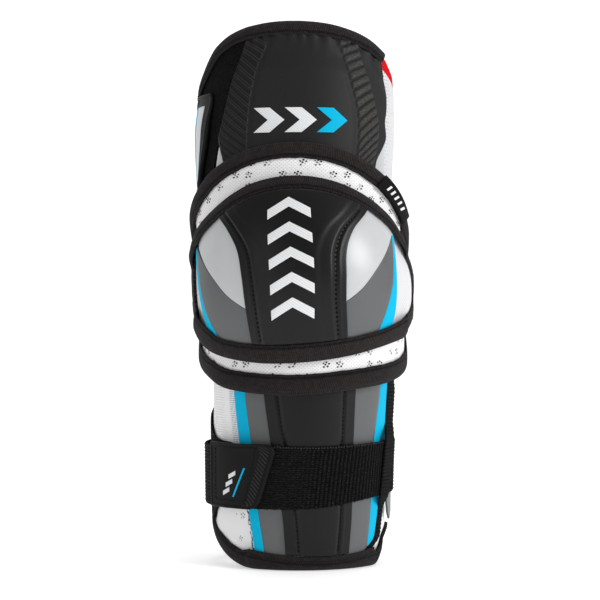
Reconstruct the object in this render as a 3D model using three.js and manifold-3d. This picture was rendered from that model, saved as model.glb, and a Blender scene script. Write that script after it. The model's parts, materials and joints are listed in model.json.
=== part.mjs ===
// Hockey elbow pad: a padded wrap on the upper arm and one on the forearm, with a lens-shaped elbow
// sleeve and a domed cap over the joint. Millimetres, +Z up the arm, the cap faces -Y.
// A bearing is an angle round the arm in degrees, 0 at the front and positive towards +X.
// An offset is a distance outwards from the liner that touches the arm.
import * as THREE from "three";
import { mergeVertices } from "three/addons/utils/BufferGeometryUtils.js";
import Module from "manifold-3d";

const { lerp, clamp, smoothstep, degToRad } = THREE.MathUtils;

// Driving sizes
const PAD_HEIGHT = 328.5;
const GAP = 0.4;
const WRAP_THICK = 6;
const PANEL_THICK = 1.4;
const PLATE_FLANGE = 1.2;
const PLATE_THICK = 2.4;
const GUARD_THICK = 2.6;
const GUARD_LIP = 1.2;
const RIB_HEIGHT = 1.1;
const UNDERLAY_THICK = 1;
const LOOP_THICK = 1.5;
const STRAP_THICK = 1.6;
const TAB_THICK = 2.8;
const UPPER_TAB_THICK = 3.4;
const TAPE_THICK = 1.4;
const SLEEVE_THICK = 4.6;
const CAP_THICK = 2.8;
const CAP_RISE = 13.5;
const LABEL_THICK = 0.8;
const PAD_CENTRE = { x: 0.5, y: -6.5 };
const EDGE_STEP = 0.5;
const PASSES = 6;

// Widths of the tape that shows beside each edge
const UPPER_TAPE = 7;
const SLEEVE_TOP_TAPE = 8;
const SLEEVE_BOTTOM_TAPE = 10.5;
const CAP_TOP_TAPE = 5.5;
const CAP_BOTTOM_TAPE = 8.5;
const FOREARM_TAPE = 5.9;
const PANEL_TAPE = 3.2;

// Oval sections of the arm tunnel, from the forearm rim up to the upper-arm rim
const ARM_SECTIONS = [
  { z: 0, centreX: 0, centreY: 0, halfWidth: 46, halfDepth: 44 },
  { z: 60, centreX: 0, centreY: -1, halfWidth: 47, halfDepth: 45 },
  { z: 120, centreX: 1.3, centreY: -1, halfWidth: 48.7, halfDepth: 46 },
  { z: 170, centreX: 1.5, centreY: 1, halfWidth: 48, halfDepth: 47 },
  { z: 220, centreX: -0.8, centreY: 6, halfWidth: 51.2, halfDepth: 48 },
  { z: 275, centreX: -0.7, centreY: 14, halfWidth: 53.8, halfDepth: 50 },
  { z: 335, centreX: 0, centreY: 23, halfWidth: 49.5, halfDepth: 49 },
];

// The wraps meet under the cap; their slit down the back widens at the crease of the elbow
const SEAM_Z = 168;
const WRAP_SPAN = 166;
const WRAP_COLUMNS = 32;
const WRAP_ROWS = 7;
const CREASE = { z: 168, half: 54, depth: 34 };
const SEAM_EASE = 1.3;

// Upper rim: how far it falls below the front on each side, by the angle from the front
const UPPER_RIM = [
  { turn: 0, left: 0, right: 0 },
  { turn: 12, left: 0.1, right: 0.8 },
  { turn: 24, left: 1.1, right: 2.6 },
  { turn: 42, left: 4.4, right: 7.6 },
  { turn: 58, left: 11.5, right: 15.4 },
  { turn: 66, left: 18.5, right: 20.5 },
  { turn: 75, left: 27, right: 26.5 },
  { turn: 90, left: 35.5, right: 33 },
  { turn: 112, left: 39, right: 38 },
  { turn: 140, left: 39, right: 39 },
  { turn: 166, left: 39, right: 39 },
];
const UPPER_TAPE_COLUMNS = 22;
const UPPER_TAPE_LIFT = { loopFrom: -125, loopTo: -114.5, guardFrom: -38, guardTo: -32 };

// Lower rim: it stands on the front and the back, and is cut up at both sides
const LOWER_RIM = [
  { bearing: -166, z: 0 },
  { bearing: -138, z: 0 },
  { bearing: -115, z: 11 },
  { bearing: -97, z: 20 },
  { bearing: -84, z: 19 },
  { bearing: -71, z: 11.8 },
  { bearing: -56, z: 4.8 },
  { bearing: -42, z: 0.6 },
  { bearing: -32, z: 0 },
  { bearing: -20, z: 0 },
  { bearing: 40, z: 0 },
  { bearing: 52, z: 0 },
  { bearing: 58, z: 0.5 },
  { bearing: 64, z: 7 },
  { bearing: 70, z: 13.5 },
  { bearing: 80, z: 18 },
  { bearing: 94, z: 20.5 },
  { bearing: 115, z: 11 },
  { bearing: 138, z: 0 },
  { bearing: 166, z: 0 },
];

// Moulded bicep guard, with the loop panel's front edge on the left
const GUARD_LOW = 206;
const GUARD_TAPER = { full: 30, lip: 18 };
const GUARD_OUTLINE = [
  { z: 206, left: -44, right: 44 },
  { z: 244, left: -46.3, right: 48 },
  { z: 251, left: -48.3, right: 49.3 },
  { z: 259.5, left: -50.1, right: 53.9 },
  { z: 266.5, left: -47.5, right: 56.8 },
  { z: 277, left: -44.4, right: 55.4 },
  { z: 288, left: -41.9, right: 57 },
  { z: 306, left: -37, right: 56.8 },
  { z: 328, left: -30.5, right: 55 },
];
const LOOP_FRONT = [
  { z: 214, edge: -66 },
  { z: 240, edge: -58 },
  { z: 251, edge: -54.5 },
  { z: 259.5, edge: -51 },
  { z: 266.5, edge: -48.4 },
  { z: 277, edge: -45.3 },
  { z: 288, edge: -42.8 },
  { z: 306, edge: -37.9 },
  { z: 328, edge: -31.4 },
];
const LOOP_BACK = -112;
const LOOP_LOW = 214;
const UNDERLAY = { right: 60.5, low: 200, high: 263 };

// Slanted ribs: the inner and outer ends of each band, and how far a rib climbs outwards
const RIB_COUNT = 12;
const RIB_PITCH = 4.9;
const RIB_WIDTH = 2.8;
const RIB_TOP = 309.5;
const RIB_CLIMB = { top: 6.3, foot: 13 };
const RIB_BANDS = [
  { z: 240, leftOut: -47.5, leftIn: -28.2, rightIn: 32, rightOut: 46 },
  { z: 259, leftOut: -48.4, leftIn: -28.2, rightIn: 33.4, rightOut: 49.2 },
  { z: 280, leftOut: -42.8, leftIn: -26.7, rightIn: 31.4, rightOut: 45.6 },
  { z: 303, leftOut: -37.7, leftIn: -22.4, rightIn: 26.1, rightOut: 39.3 },
  { z: 318, leftOut: -33.4, leftIn: -17.5, rightIn: 22, rightOut: 35.3 },
];

// Upper strap: elastic round the back, ending in a rubber tab on the loop panel
const UPPER_STRAP = { from: 118, low: 228, high: 276, liftFrom: 225, liftTo: 240 };
const UPPER_TAB = { back: -96, low: 226, high: 287 };
const UPPER_TAB_FRONT = [
  { z: 226, edge: -79 },
  { z: 234, edge: -75 },
  { z: 246, edge: -67 },
  { z: 258, edge: -61.7 },
  { z: 272, edge: -58.5 },
  { z: 283, edge: -56.5 },
  { z: 287, edge: -59 },
];

// Elbow sleeve: a lens that narrows to a tip behind each side of the arm
const SLEEVE_EDGE = [
  { bearing: -102, top: 173, bottom: 150 },
  { bearing: -90, top: 196, bottom: 128.5 },
  { bearing: -75, top: 216.5, bottom: 118 },
  { bearing: -61, top: 229, bottom: 113 },
  { bearing: -45, top: 240.5, bottom: 107.8 },
  { bearing: -22, top: 251, bottom: 105 },
  { bearing: 0, top: 253.8, bottom: 104.6 },
  { bearing: 22, top: 249.6, bottom: 106.8 },
  { bearing: 45, top: 237.5, bottom: 109.7 },
  { bearing: 61, top: 224.8, bottom: 112.2 },
  { bearing: 75, top: 209.5, bottom: 115.8 },
  { bearing: 90, top: 192, bottom: 124.5 },
  { bearing: 102, top: 172, bottom: 146 },
];
const SLEEVE_TIP = 102;
const SLEEVE_SEAT = { front: 74, sideLow: 40, lowZ: 112, highZ: 196, tuckLeft: 3, tuckRight: 1.8 };
const TIP_SHARE = 0.4;
const LABEL = { from: 46.5, to: 72 };

// Elbow cap: a smaller lens that bulges over the sleeve, with tips that lie flat on it
const CAP_EDGE = [
  { bearing: -82, top: 164.5, bottom: 157 },
  { bearing: -77, top: 175, bottom: 150.5 },
  { bearing: -70, top: 186, bottom: 142.5 },
  { bearing: -60, top: 200.5, bottom: 134 },
  { bearing: -45, top: 213.3, bottom: 127.6 },
  { bearing: -22, top: 229, bottom: 123.5 },
  { bearing: 0, top: 233.5, bottom: 124 },
  { bearing: 22, top: 228, bottom: 127.5 },
  { bearing: 45, top: 212.3, bottom: 133.8 },
  { bearing: 60, top: 195, bottom: 137.8 },
  { bearing: 70, top: 184.5, bottom: 142.5 },
  { bearing: 80, top: 173, bottom: 150.5 },
  { bearing: 86, top: 164.5, bottom: 157 },
];
const CAP_FROM = -82;
const CAP_TO = 86;
const DOME = { from: -75, to: 76 };
const CAP_SIDE = { from: 63, to: 70 };

// Cap panels lie either side of a middle line that is turned a little to the left and rolled a little
const CAP_TURN = -4;
const CAP_ROLL = 0.07;
const CAP_INNER = 17;
const CAP_LEAF = [
  { local: 17, z: 154.5 },
  { local: 21.5, z: 157.9 },
  { local: 29, z: 165.6 },
  { local: 35.6, z: 175.7 },
  { local: 42.8, z: 187 },
  { local: 49.3, z: 197.6 },
];
const CAP_LEAF_END = 49.3;
const CAP_BLUE = [
  { z: 136, leftIn: 35, leftOut: 41, rightIn: 39.5, rightOut: 48.2 },
  { z: 143, leftIn: 38.1, leftOut: 43.6, rightIn: 41.1, rightOut: 48.8 },
  { z: 150, leftIn: 41.3, leftOut: 45.6, rightIn: 42.5, rightOut: 49.1 },
  { z: 157, leftIn: 43.9, leftOut: 47.2, rightIn: 43.8, rightOut: 48.8 },
  { z: 166, leftIn: 46.3, leftOut: 48.8, rightIn: 45.2, rightOut: 48.4 },
  { z: 178, leftIn: 48.3, leftOut: 50.3, rightIn: 46.1, rightOut: 48.2 },
  { z: 188, leftIn: 49.9, leftOut: 51.8, rightIn: 47.1, rightOut: 48.8 },
  { z: 197, leftIn: 51.3, leftOut: 52.8, rightIn: 48.4, rightOut: 50 },
];
const CAP_BLUE_TOP = 195.5;
const CAP_PLATE_SLOPE = { from: 0.1, to: 0.35 };
const CAP_PLATE = [
  { z: 137, middle: 2.6, half: 21.4 },
  { z: 158, middle: 0.9, half: 20.9 },
  { z: 175, middle: 0.3, half: 21.2 },
  { z: 190, middle: -0.2, half: 22.4 },
  { z: 202, middle: -0.8, half: 27 },
  { z: 212, middle: -0.5, half: 34 },
  { z: 222, middle: 0, half: 40 },
];

// Forearm panels: where each colour ends, from left to right
const PANEL_HIGH = 150;
const FOREARM_BANDS = [
  { z: 0, blueLeft: -29, greyLeft: -22, plateLeft: -8, plateRight: 32, greyRight: 47.5, blueRight: 53.5 },
  { z: 10, blueLeft: -30, greyLeft: -23, plateLeft: -9, plateRight: 32, greyRight: 48, blueRight: 54.5 },
  { z: 34, blueLeft: -34, greyLeft: -27, plateLeft: -11, plateRight: 34, greyRight: 51.5, blueRight: 60 },
  { z: 74, blueLeft: -41, greyLeft: -32, plateLeft: -18, plateRight: 34, greyRight: 53, blueRight: 66.3 },
  { z: 104, blueLeft: -46, greyLeft: -37, plateLeft: -23, plateRight: 34, greyRight: 57, blueRight: 67 },
  { z: 150, blueLeft: -51, greyLeft: -42, plateLeft: -29, plateRight: 35, greyRight: 61, blueRight: 70 },
];
const LOWER_TAPE_LIFT = { from: -39, full: -32, fullTo: 62.5, to: 70.5 };
const PLATE_SLOPE = { from: 3, to: 9 };
const UNDER_PLATE = 3;

// Webbing down the right edge of the panels, bent out over the strap
const WEBBING = { low: 19, width: 8.5, high: 138, clear: 3, ramp: 14 };
const WEBBING_TILT = { rise: 2.3, from: 104, to: 118 };
const WEBBING_SHIFT = { turn: 7.7, from: 0.4 };
const WEBBING_END = { from: 72, to: 82, low: 31, tip: 26.5, high: 46 };

// Forearm strap: loop pile across the front, elastic round the back, a rubber tab on the join
const STRAP_EDGE = [
  { bearing: -75, low: 36, high: 73 },
  { bearing: -25, low: 36.7, high: 74.5 },
  { bearing: 10, low: 37.5, high: 74 },
  { bearing: 45, low: 42, high: 75.2 },
  { bearing: 80, low: 43.5, high: 75.6 },
];
const STRAP_LEFT = -46;
const STRAP_RIGHT = 78;
const STRAP_SIDE = { leftFrom: 60, leftTo: 110, rightFrom: 36, rightTo: 66, in: 9.5 };
const TAB = { back: -60, low: 36.5, high: 75.5 };
const TAB_FRONT = [
  { z: 36.5, edge: -29 },
  { z: 38, edge: -25.8 },
  { z: 41.5, edge: -22.7 },
  { z: 69, edge: -14.5 },
  { z: 72.5, edge: -14.4 },
  { z: 75.5, edge: -19 },
];
const FLAP = { back: -206, front: -48 };
const FLAP_EDGE = [
  { bearing: -206, low: 18, high: 112 },
  { bearing: -118, low: 18, high: 112 },
  { bearing: -107, low: 18, high: 97 },
  { bearing: -91, low: 18, high: 91 },
  { bearing: -80, low: 20, high: 86.5 },
  { bearing: -72, low: 31, high: 82 },
  { bearing: -61, low: 39, high: 77.5 },
  { bearing: -52, low: 55, high: 76 },
  { bearing: -48, low: 70, high: 75 },
];

// Layers, each worked out from the one below
const panelIn = WRAP_THICK + GAP;
const panelOut = panelIn + PANEL_THICK;
const plateIn = panelOut + GAP;
const strapIn = plateIn + PLATE_THICK + GAP;
const guardIn = panelIn + UNDERLAY_THICK + 1.5 * GAP;
const loopOut = panelIn + LOOP_THICK;
const sleeveFront = guardIn + GUARD_THICK + RIB_HEIGHT + GAP;
const capSeat = SLEEVE_THICK + 2 * GAP;
const capPanelIn = CAP_THICK + 3 * GAP;
const capPanelOut = capPanelIn + PANEL_THICK;
const capPlateIn = capPanelOut + 1.5 * GAP;
const tapeEdge = GAP + TAPE_THICK;
const panelTapeLow = FOREARM_TAPE + tapeEdge + GAP;
const plateLow = panelTapeLow + PANEL_TAPE + GAP;

// A column of a table, read anywhere along its key by a smooth curve through the rows
function read(table, column, at, key = "z") {
  const last = table.length - 1;
  const place = clamp(at, table[0][key], table[last][key]);
  const k = Math.max(0, table.findIndex((row, i) => i === last || table[i + 1][key] >= place));
  const [a, b] = [table[k], table[Math.min(k + 1, last)]];
  const span = b[key] - a[key];
  if (span === 0) return a[column];
  const [before, after] = [table[Math.max(k - 1, 0)], table[Math.min(k + 2, last)]];
  const slopeA = (b[column] - before[column]) / (b[key] - before[key]);
  const slopeB = (after[column] - a[column]) / (after[key] - a[key]);
  const t = (place - a[key]) / span;
  const [t2, t3] = [t * t, t * t * t];
  const ends = (2 * t3 - 3 * t2 + 1) * a[column] + (3 * t2 - 2 * t3) * b[column];
  return ends + (t3 - 2 * t2 + t) * span * slopeA + (t3 - t2) * span * slopeB;
}

function armPoint(bearing, z, offset) {
  const angle = degToRad(bearing);
  const width = read(ARM_SECTIONS, "halfWidth", z) + offset;
  const depth = read(ARM_SECTIONS, "halfDepth", z) + offset;
  const x = read(ARM_SECTIONS, "centreX", z) + width * Math.sin(angle);
  const y = read(ARM_SECTIONS, "centreY", z) - depth * Math.cos(angle);
  return new THREE.Vector3(x - PAD_CENTRE.x, y - PAD_CENTRE.y, z);
}

// A closed geometry from points and triangles, with its faces turned outwards
function closedGeometry(points, index) {
  const volume = (i) => points[index[i]].dot(points[index[i + 1]].clone().cross(points[index[i + 2]]));
  let total = 0;
  for (let i = 0; i < index.length; i += 3) total += volume(i);
  const faces = total < 0 ? index.slice().reverse() : index;
  const geometry = new THREE.BufferGeometry().setFromPoints(points);
  geometry.setIndex(faces);
  return geometry;
}

// Adds a four-sided cell, split along its shorter diagonal because that keeps closer to the curve
function cellAdder(points, index) {
  return (a, b, c, d) => {
    const split = points[a].distanceTo(points[c]) <= points[b].distanceTo(points[d]);
    index.push(...(split ? [a, b, c, a, c, d] : [b, c, d, b, d, a]));
  };
}

// A wall over a patch: at(u, v) gives bearing and height, and the offsets give its two faces
function wall({ columns, rows, at, inner, outer }) {
  const points = [];
  const index = [];
  const id = (face, i, j) => (face * (columns + 1) + i) * (rows + 1) + j;
  const quad = cellAdder(points, index);
  for (const offset of [inner, outer]) {
    for (let i = 0; i <= columns; i++) {
      for (let j = 0; j <= rows; j++) {
        const [bearing, z] = at(i / columns, j / rows);
        points.push(armPoint(bearing, z, typeof offset === "number" ? offset : offset(bearing, z)));
      }
    }
  }
  for (let i = 0; i < columns; i++) {
    for (let j = 0; j < rows; j++) {
      quad(id(1, i, j), id(1, i + 1, j), id(1, i + 1, j + 1), id(1, i, j + 1));
      quad(id(0, i, j), id(0, i, j + 1), id(0, i + 1, j + 1), id(0, i + 1, j));
    }
    quad(id(0, i, 0), id(0, i + 1, 0), id(1, i + 1, 0), id(1, i, 0));
    quad(id(1, i, rows), id(1, i + 1, rows), id(0, i + 1, rows), id(0, i, rows));
  }
  for (let j = 0; j < rows; j++) {
    quad(id(0, 0, j), id(1, 0, j), id(1, 0, j + 1), id(0, 0, j + 1));
    quad(id(1, columns, j), id(0, columns, j), id(0, columns, j + 1), id(1, columns, j + 1));
  }
  return closedGeometry(points, index);
}

// A patch inside four boundary curves, each a function from 0 to 1 to bearing and height
function patch({ bottom, top, left, right }) {
  return (u, v) => [0, 1].map((k) => {
    const across = lerp(left(v)[k], right(v)[k], u) + lerp(bottom(u)[k], top(u)[k], v);
    const low = lerp(bottom(0)[k], bottom(1)[k], u);
    const high = lerp(top(0)[k], top(1)[k], u);
    return across - lerp(low, high, v);
  });
}

// A tape folded over an edge: profile(bearing) lists how far past the edge and how far out each corner is
function tape({ columns, from, to, edge, side, profile, base = () => 0 }) {
  const points = [];
  const index = [];
  const quad = cellAdder(points, index);
  const corners = profile(from).length;
  for (let i = 0; i <= columns; i++) {
    const bearing = lerp(from, to, i / columns);
    const frame = edgeFrame(bearing, edge);
    for (const [past, out] of profile(bearing)) {
      const b = bearing + side * past * frame.bearingPast;
      const z = edge(bearing) + side * past * frame.zPast;
      points.push(armPoint(b, z, base(b, z) + out));
    }
  }
  for (let i = 0; i < columns; i++) {
    for (let j = 0; j < corners; j++) {
      const [a, b] = [i * corners + j, i * corners + ((j + 1) % corners)];
      quad(a, b, b + corners, a + corners);
    }
  }
  const contour = profile(from).map(([past, out]) => new THREE.Vector2(past, out));
  const area = (ids) => THREE.ShapeUtils.area(ids.map((id) => contour[id]));
  const turn = Math.sign(THREE.ShapeUtils.area(contour));
  for (const face of THREE.ShapeUtils.triangulateShape(contour, [])) {
    const [a, b, c] = area(face) * turn > 0 ? face : face.slice().reverse();
    const last = columns * corners;
    index.push(a, c, b, a + last, b + last, c + last);
  }
  return closedGeometry(points, index);
}

// How bearing and height change for each millimetre past an edge, square to it on the surface
function edgeFrame(bearing, edge) {
  const [next, last] = [bearing + EDGE_STEP, bearing - EDGE_STEP];
  const ahead = armPoint(next, edge(next), WRAP_THICK);
  const behind = armPoint(last, edge(last), WRAP_THICK);
  const run = Math.hypot(ahead.x - behind.x, ahead.y - behind.y);
  const rise = ahead.z - behind.z;
  const length = Math.hypot(run, rise);
  const turn = (2 * EDGE_STEP) / run;
  return { bearingPast: (-rise / length) * turn, zPast: run / length, slant: length / run };
}

// Corners of a tape over the outside and the edge of a wall, and of one that also goes inside
function edgeProfile(leg, inner, outer) {
  const top = outer + TAPE_THICK;
  return [
    [-leg, outer], [-leg + TAPE_THICK / 2, top], [0, top], [tapeEdge, outer - TAPE_THICK / 2],
    [tapeEdge, inner], [GAP, inner], [GAP, outer],
  ];
}

function rimProfile(leg, outer) {
  const [top, under] = [outer + TAPE_THICK, -GAP - TAPE_THICK];
  return [
    [-leg, outer], [-leg + TAPE_THICK / 2, top], [0, top], [tapeEdge, outer - TAPE_THICK],
    [tapeEdge, TAPE_THICK], [0, under], [-leg, -GAP], [GAP, -GAP], [GAP, outer],
  ];
}

const wasm = await Module();
wasm.setup();

function toSolid(geometry) {
  const plain = mergeVertices(geometry, 1e-4);
  const vertProperties = new Float32Array(plain.attributes.position.array);
  const triVerts = new Uint32Array(plain.index.array);
  return new wasm.Manifold(new wasm.Mesh({ numProp: 3, vertProperties, triVerts }));
}

function toGeometry(solid) {
  const mesh = solid.getMesh();
  const geometry = new THREE.BufferGeometry();
  geometry.setAttribute("position", new THREE.BufferAttribute(new Float32Array(mesh.vertProperties), 3));
  geometry.setIndex(new THREE.BufferAttribute(new Uint32Array(mesh.triVerts), 1));
  return geometry;
}

const finish = (color, roughness) => () => new THREE.MeshStandardMaterial({ color, roughness, metalness: 0 });
const WHITE_MESH = finish(0xe8e8e8, 0.9);
const BLACK_TAPE = finish(0x262122, 0.85);
const BLACK_MOULD = finish(0x272727, 0.6);
const LOOP_PILE = finish(0x121212, 1);
const BLACK_STRAP = finish(0x1b1b1b, 0.95);
const RUBBER = finish(0x2e2f31, 0.7);
const LIGHT_GREY = finish(0xc4c6c8, 0.35);
const DARK_GREY = finish(0x6c6e70, 0.4);
const BLUE = finish(0x14aee0, 0.4);

function piece(group, name, material, geometry) {
  const mesh = new THREE.Mesh(geometry, material());
  mesh.name = name;
  group.add(mesh);
}

// Upper rim and lower rim, as the height of the finished edge at each bearing
const upperRim = (bearing) => {
  const side = bearing < 0 ? "left" : "right";
  return PAD_HEIGHT - read(UPPER_RIM, side, Math.abs(bearing), "turn");
};
const lowerRim = (bearing) => Math.max(0, read(LOWER_RIM, "z", bearing, "bearing"));
const upperWallEdge = (bearing) => upperRim(bearing) - tapeEdge;
const lowerWallEdge = (bearing) => lowerRim(bearing) + tapeEdge;

function wrapSpan(z) {
  const near = clamp(1 - Math.abs(z - CREASE.z) / CREASE.half, 0, 1);
  return WRAP_SPAN - CREASE.depth * smoothstep(near, 0, 1);
}

// A wrap runs between a rim and the seam; its back edges follow the slit, and its rows close up to the seam
function wrap(low, high, seamAtFoot) {
  return wall({
    columns: WRAP_COLUMNS,
    rows: WRAP_ROWS,
    inner: 0,
    outer: WRAP_THICK,
    at: (u, v) => {
      const whole = lerp(-WRAP_SPAN, WRAP_SPAN, u);
      const up = seamAtFoot ? v ** SEAM_EASE : 1 - (1 - v) ** SEAM_EASE;
      const z = lerp(low(whole), high(whole), up);
      return [(whole / WRAP_SPAN) * wrapSpan(z), z];
    },
  });
}

function guardThickness(z, rim) {
  return lerp(GUARD_THICK, GUARD_LIP, smoothstep(z, rim - GUARD_TAPER.full, rim - GUARD_TAPER.lip));
}

const guardOuter = (bearing, z) => guardIn + guardThickness(z, upperRim(bearing));

function guardPatch() {
  return patch({
    bottom: (u) => [lerp(GUARD_OUTLINE[0].left, GUARD_OUTLINE[0].right, u), GUARD_LOW],
    top: (u) => {
      const top = GUARD_OUTLINE.at(-1);
      const bearing = lerp(top.left, top.right, u);
      return [bearing, upperWallEdge(bearing) - GAP];
    },
    left: (v) => outlineSide("left", v),
    right: (v) => outlineSide("right", v),
  });
}

function outlineSide(column, v) {
  const high = upperWallEdge(read(GUARD_OUTLINE, column, PAD_HEIGHT)) - GAP;
  const z = lerp(GUARD_LOW, high, v);
  const reach = (z - GUARD_LOW) / (high - GUARD_LOW);
  return [read(GUARD_OUTLINE, column, lerp(GUARD_LOW, PAD_HEIGHT, reach)), z];
}

// One slanted rib, from its inner end to its outer end, sunk a little into the guard
function rib(side, zOuter, climb) {
  const ends = (z) => ["In", "Out"].map((end) => read(RIB_BANDS, side + end, z));
  const [innerEnd, outerEnd] = [ends(zOuter - climb)[0], ends(zOuter)[1]];
  return wall({
    columns: 1,
    rows: 1,
    at: (u, v) => [lerp(innerEnd, outerEnd, u), zOuter - climb * (1 - u) + (v - 0.5) * RIB_WIDTH],
    inner: guardIn + GUARD_THICK / 2,
    outer: guardIn + GUARD_THICK + RIB_HEIGHT,
  });
}

function bicepGuard() {
  let solid = toSolid(wall({ columns: 12, rows: 7, at: guardPatch(), inner: guardIn, outer: guardOuter }));
  for (let i = 0; i < RIB_COUNT; i++) {
    const climb = lerp(RIB_CLIMB.top, RIB_CLIMB.foot, i / (RIB_COUNT - 1));
    for (const side of ["left", "right"]) {
      solid = solid.add(toSolid(rib(side, RIB_TOP - i * RIB_PITCH, climb)));
    }
  }
  return toGeometry(solid);
}

function upperArm() {
  const group = new THREE.Group();
  piece(group, "upper_arm_wrap", WHITE_MESH, wrap(() => SEAM_Z + GAP / 2, upperWallEdge, true));
  const lift = UPPER_TAPE_LIFT;
  const overGuard = (bearing) => smoothstep(bearing, lift.guardFrom, lift.guardTo);
  const overLoop = (bearing) => smoothstep(bearing, lift.loopFrom, lift.loopTo);
  const legOut = (bearing) => {
    const side = lerp(panelIn, loopOut + 2 * GAP, overLoop(bearing));
    return lerp(side, guardIn + GUARD_LIP + GAP, overGuard(bearing));
  };
  piece(group, "upper_arm_binding", BLACK_TAPE, tape({
    columns: UPPER_TAPE_COLUMNS,
    from: -WRAP_SPAN,
    to: lerp(-WRAP_SPAN, WRAP_SPAN, UPPER_TAPE_COLUMNS / WRAP_COLUMNS),
    edge: upperWallEdge,
    side: 1,
    profile: (bearing) => rimProfile(UPPER_TAPE, legOut(bearing)),
  }));
  piece(group, "bicep_underlay", LIGHT_GREY, wall({
    columns: 10,
    rows: 6,
    at: (u, v) => {
      const z = lerp(UNDERLAY.low, UNDERLAY.high, v);
      return [lerp(read(LOOP_FRONT, "edge", z) + 2 * GAP, UNDERLAY.right, u), z];
    },
    inner: panelIn,
    outer: panelIn + UNDERLAY_THICK,
  }));
  piece(group, "bicep_guard", BLACK_MOULD, bicepGuard());
  piece(group, "bicep_loop_panel", LOOP_PILE, wall({
    columns: 8,
    rows: 8,
    at: (u, v) => {
      const top = (bearing) => lerp(LOOP_LOW, upperWallEdge(bearing) - GAP, v);
      let front = LOOP_FRONT[0].edge;
      for (let i = 0; i < PASSES; i++) front = read(LOOP_FRONT, "edge", top(front));
      const bearing = lerp(LOOP_BACK, front, u);
      return [bearing, top(bearing)];
    },
    inner: panelIn,
    outer: loopOut,
  }));
  piece(group, "upper_strap", BLACK_STRAP, wall({
    columns: 18,
    rows: 2,
    at: (u, v) => {
      const bearing = lerp(UPPER_STRAP.from, 360 + UPPER_TAB.back - GAP, u);
      return [bearing, lerp(UPPER_STRAP.low, UPPER_STRAP.high, v)];
    },
    inner: (bearing) => upperStrapIn(bearing),
    outer: (bearing) => upperStrapIn(bearing) + STRAP_THICK,
  }));
  piece(group, "upper_strap_tab", RUBBER, wall({
    columns: 4,
    rows: 6,
    at: (u, v) => {
      const z = lerp(UPPER_TAB.low, UPPER_TAB.high, v);
      const bearing = lerp(UPPER_TAB.back, read(UPPER_TAB_FRONT, "edge", z), u);
      const leg = (UPPER_TAPE + 2 * GAP) * edgeFrame(bearing, upperWallEdge).slant;
      const underTape = upperWallEdge(bearing) - leg;
      return [bearing, Math.min(z, lerp(UPPER_TAB.low, underTape, v))];
    },
    inner: loopOut + GAP,
    outer: loopOut + GAP + UPPER_TAB_THICK,
  }));
  return group;
}

// The strap rises from the wrap on to the loop panel
function upperStrapIn(bearing) {
  return lerp(panelIn, loopOut + GAP, smoothstep(bearing, UPPER_STRAP.liftFrom, UPPER_STRAP.liftTo));
}

// Inner face of the elbow sleeve: it stands off the guard in front and is sewn to the wraps at its tips
function sleeveIn(bearing, z) {
  const turn = Math.abs(bearing);
  const tip = smoothstep(turn, SLEEVE_SEAT.front, SLEEVE_TIP);
  const low = 1 - smoothstep(z, SLEEVE_SEAT.lowZ, SLEEVE_SEAT.highZ);
  const most = bearing < 0 ? SLEEVE_SEAT.tuckLeft : SLEEVE_SEAT.tuckRight;
  const tuck = most * low * smoothstep(turn, SLEEVE_SEAT.sideLow, SLEEVE_SEAT.front);
  return lerp(sleeveFront - tuck, panelIn, tip);
}

const sleeveTop = (bearing) => read(SLEEVE_EDGE, "top", bearing, "bearing") - tapeEdge;
const sleeveBottom = (bearing) => read(SLEEVE_EDGE, "bottom", bearing, "bearing") + tapeEdge;
const capTop = (bearing) => read(CAP_EDGE, "top", bearing, "bearing") - tapeEdge;
const capBottom = (bearing) => read(CAP_EDGE, "bottom", bearing, "bearing") + tapeEdge;

// Inner face of the cap: on the sleeve at its edge, with a dome in the middle
function capIn(bearing, z) {
  const middle = (DOME.from + DOME.to) / 2;
  const across = clamp((bearing - middle) / (DOME.to - middle), -1, 1);
  const [low, high] = [capBottom(bearing), capTop(bearing)];
  const up = clamp((2 * z - low - high) / Math.max(high - low, 1), -1, 1);
  return sleeveIn(bearing, z) + capSeat + CAP_RISE * (1 - across * across) * (1 - up * up);
}

const onCap = (offset) => (bearing, z) => capIn(bearing, z) + offset;
const onSleeve = (offset) => (bearing, z) => sleeveIn(bearing, z) + offset;

function lens(columns, rows, from, to, bottom, top, inner, outer) {
  const at = (u, v) => {
    const bearing = lerp(from, to, u);
    return [bearing, lerp(bottom(bearing), top(bearing), v)];
  };
  return wall({ columns, rows, at, inner, outer });
}

// A place on the cap from the angle beside its middle line: side is 1 on the right, -1 on the left
function capPlace(side, local, z) {
  return [CAP_TURN + side * local, z + CAP_ROLL * side * local];
}

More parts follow.
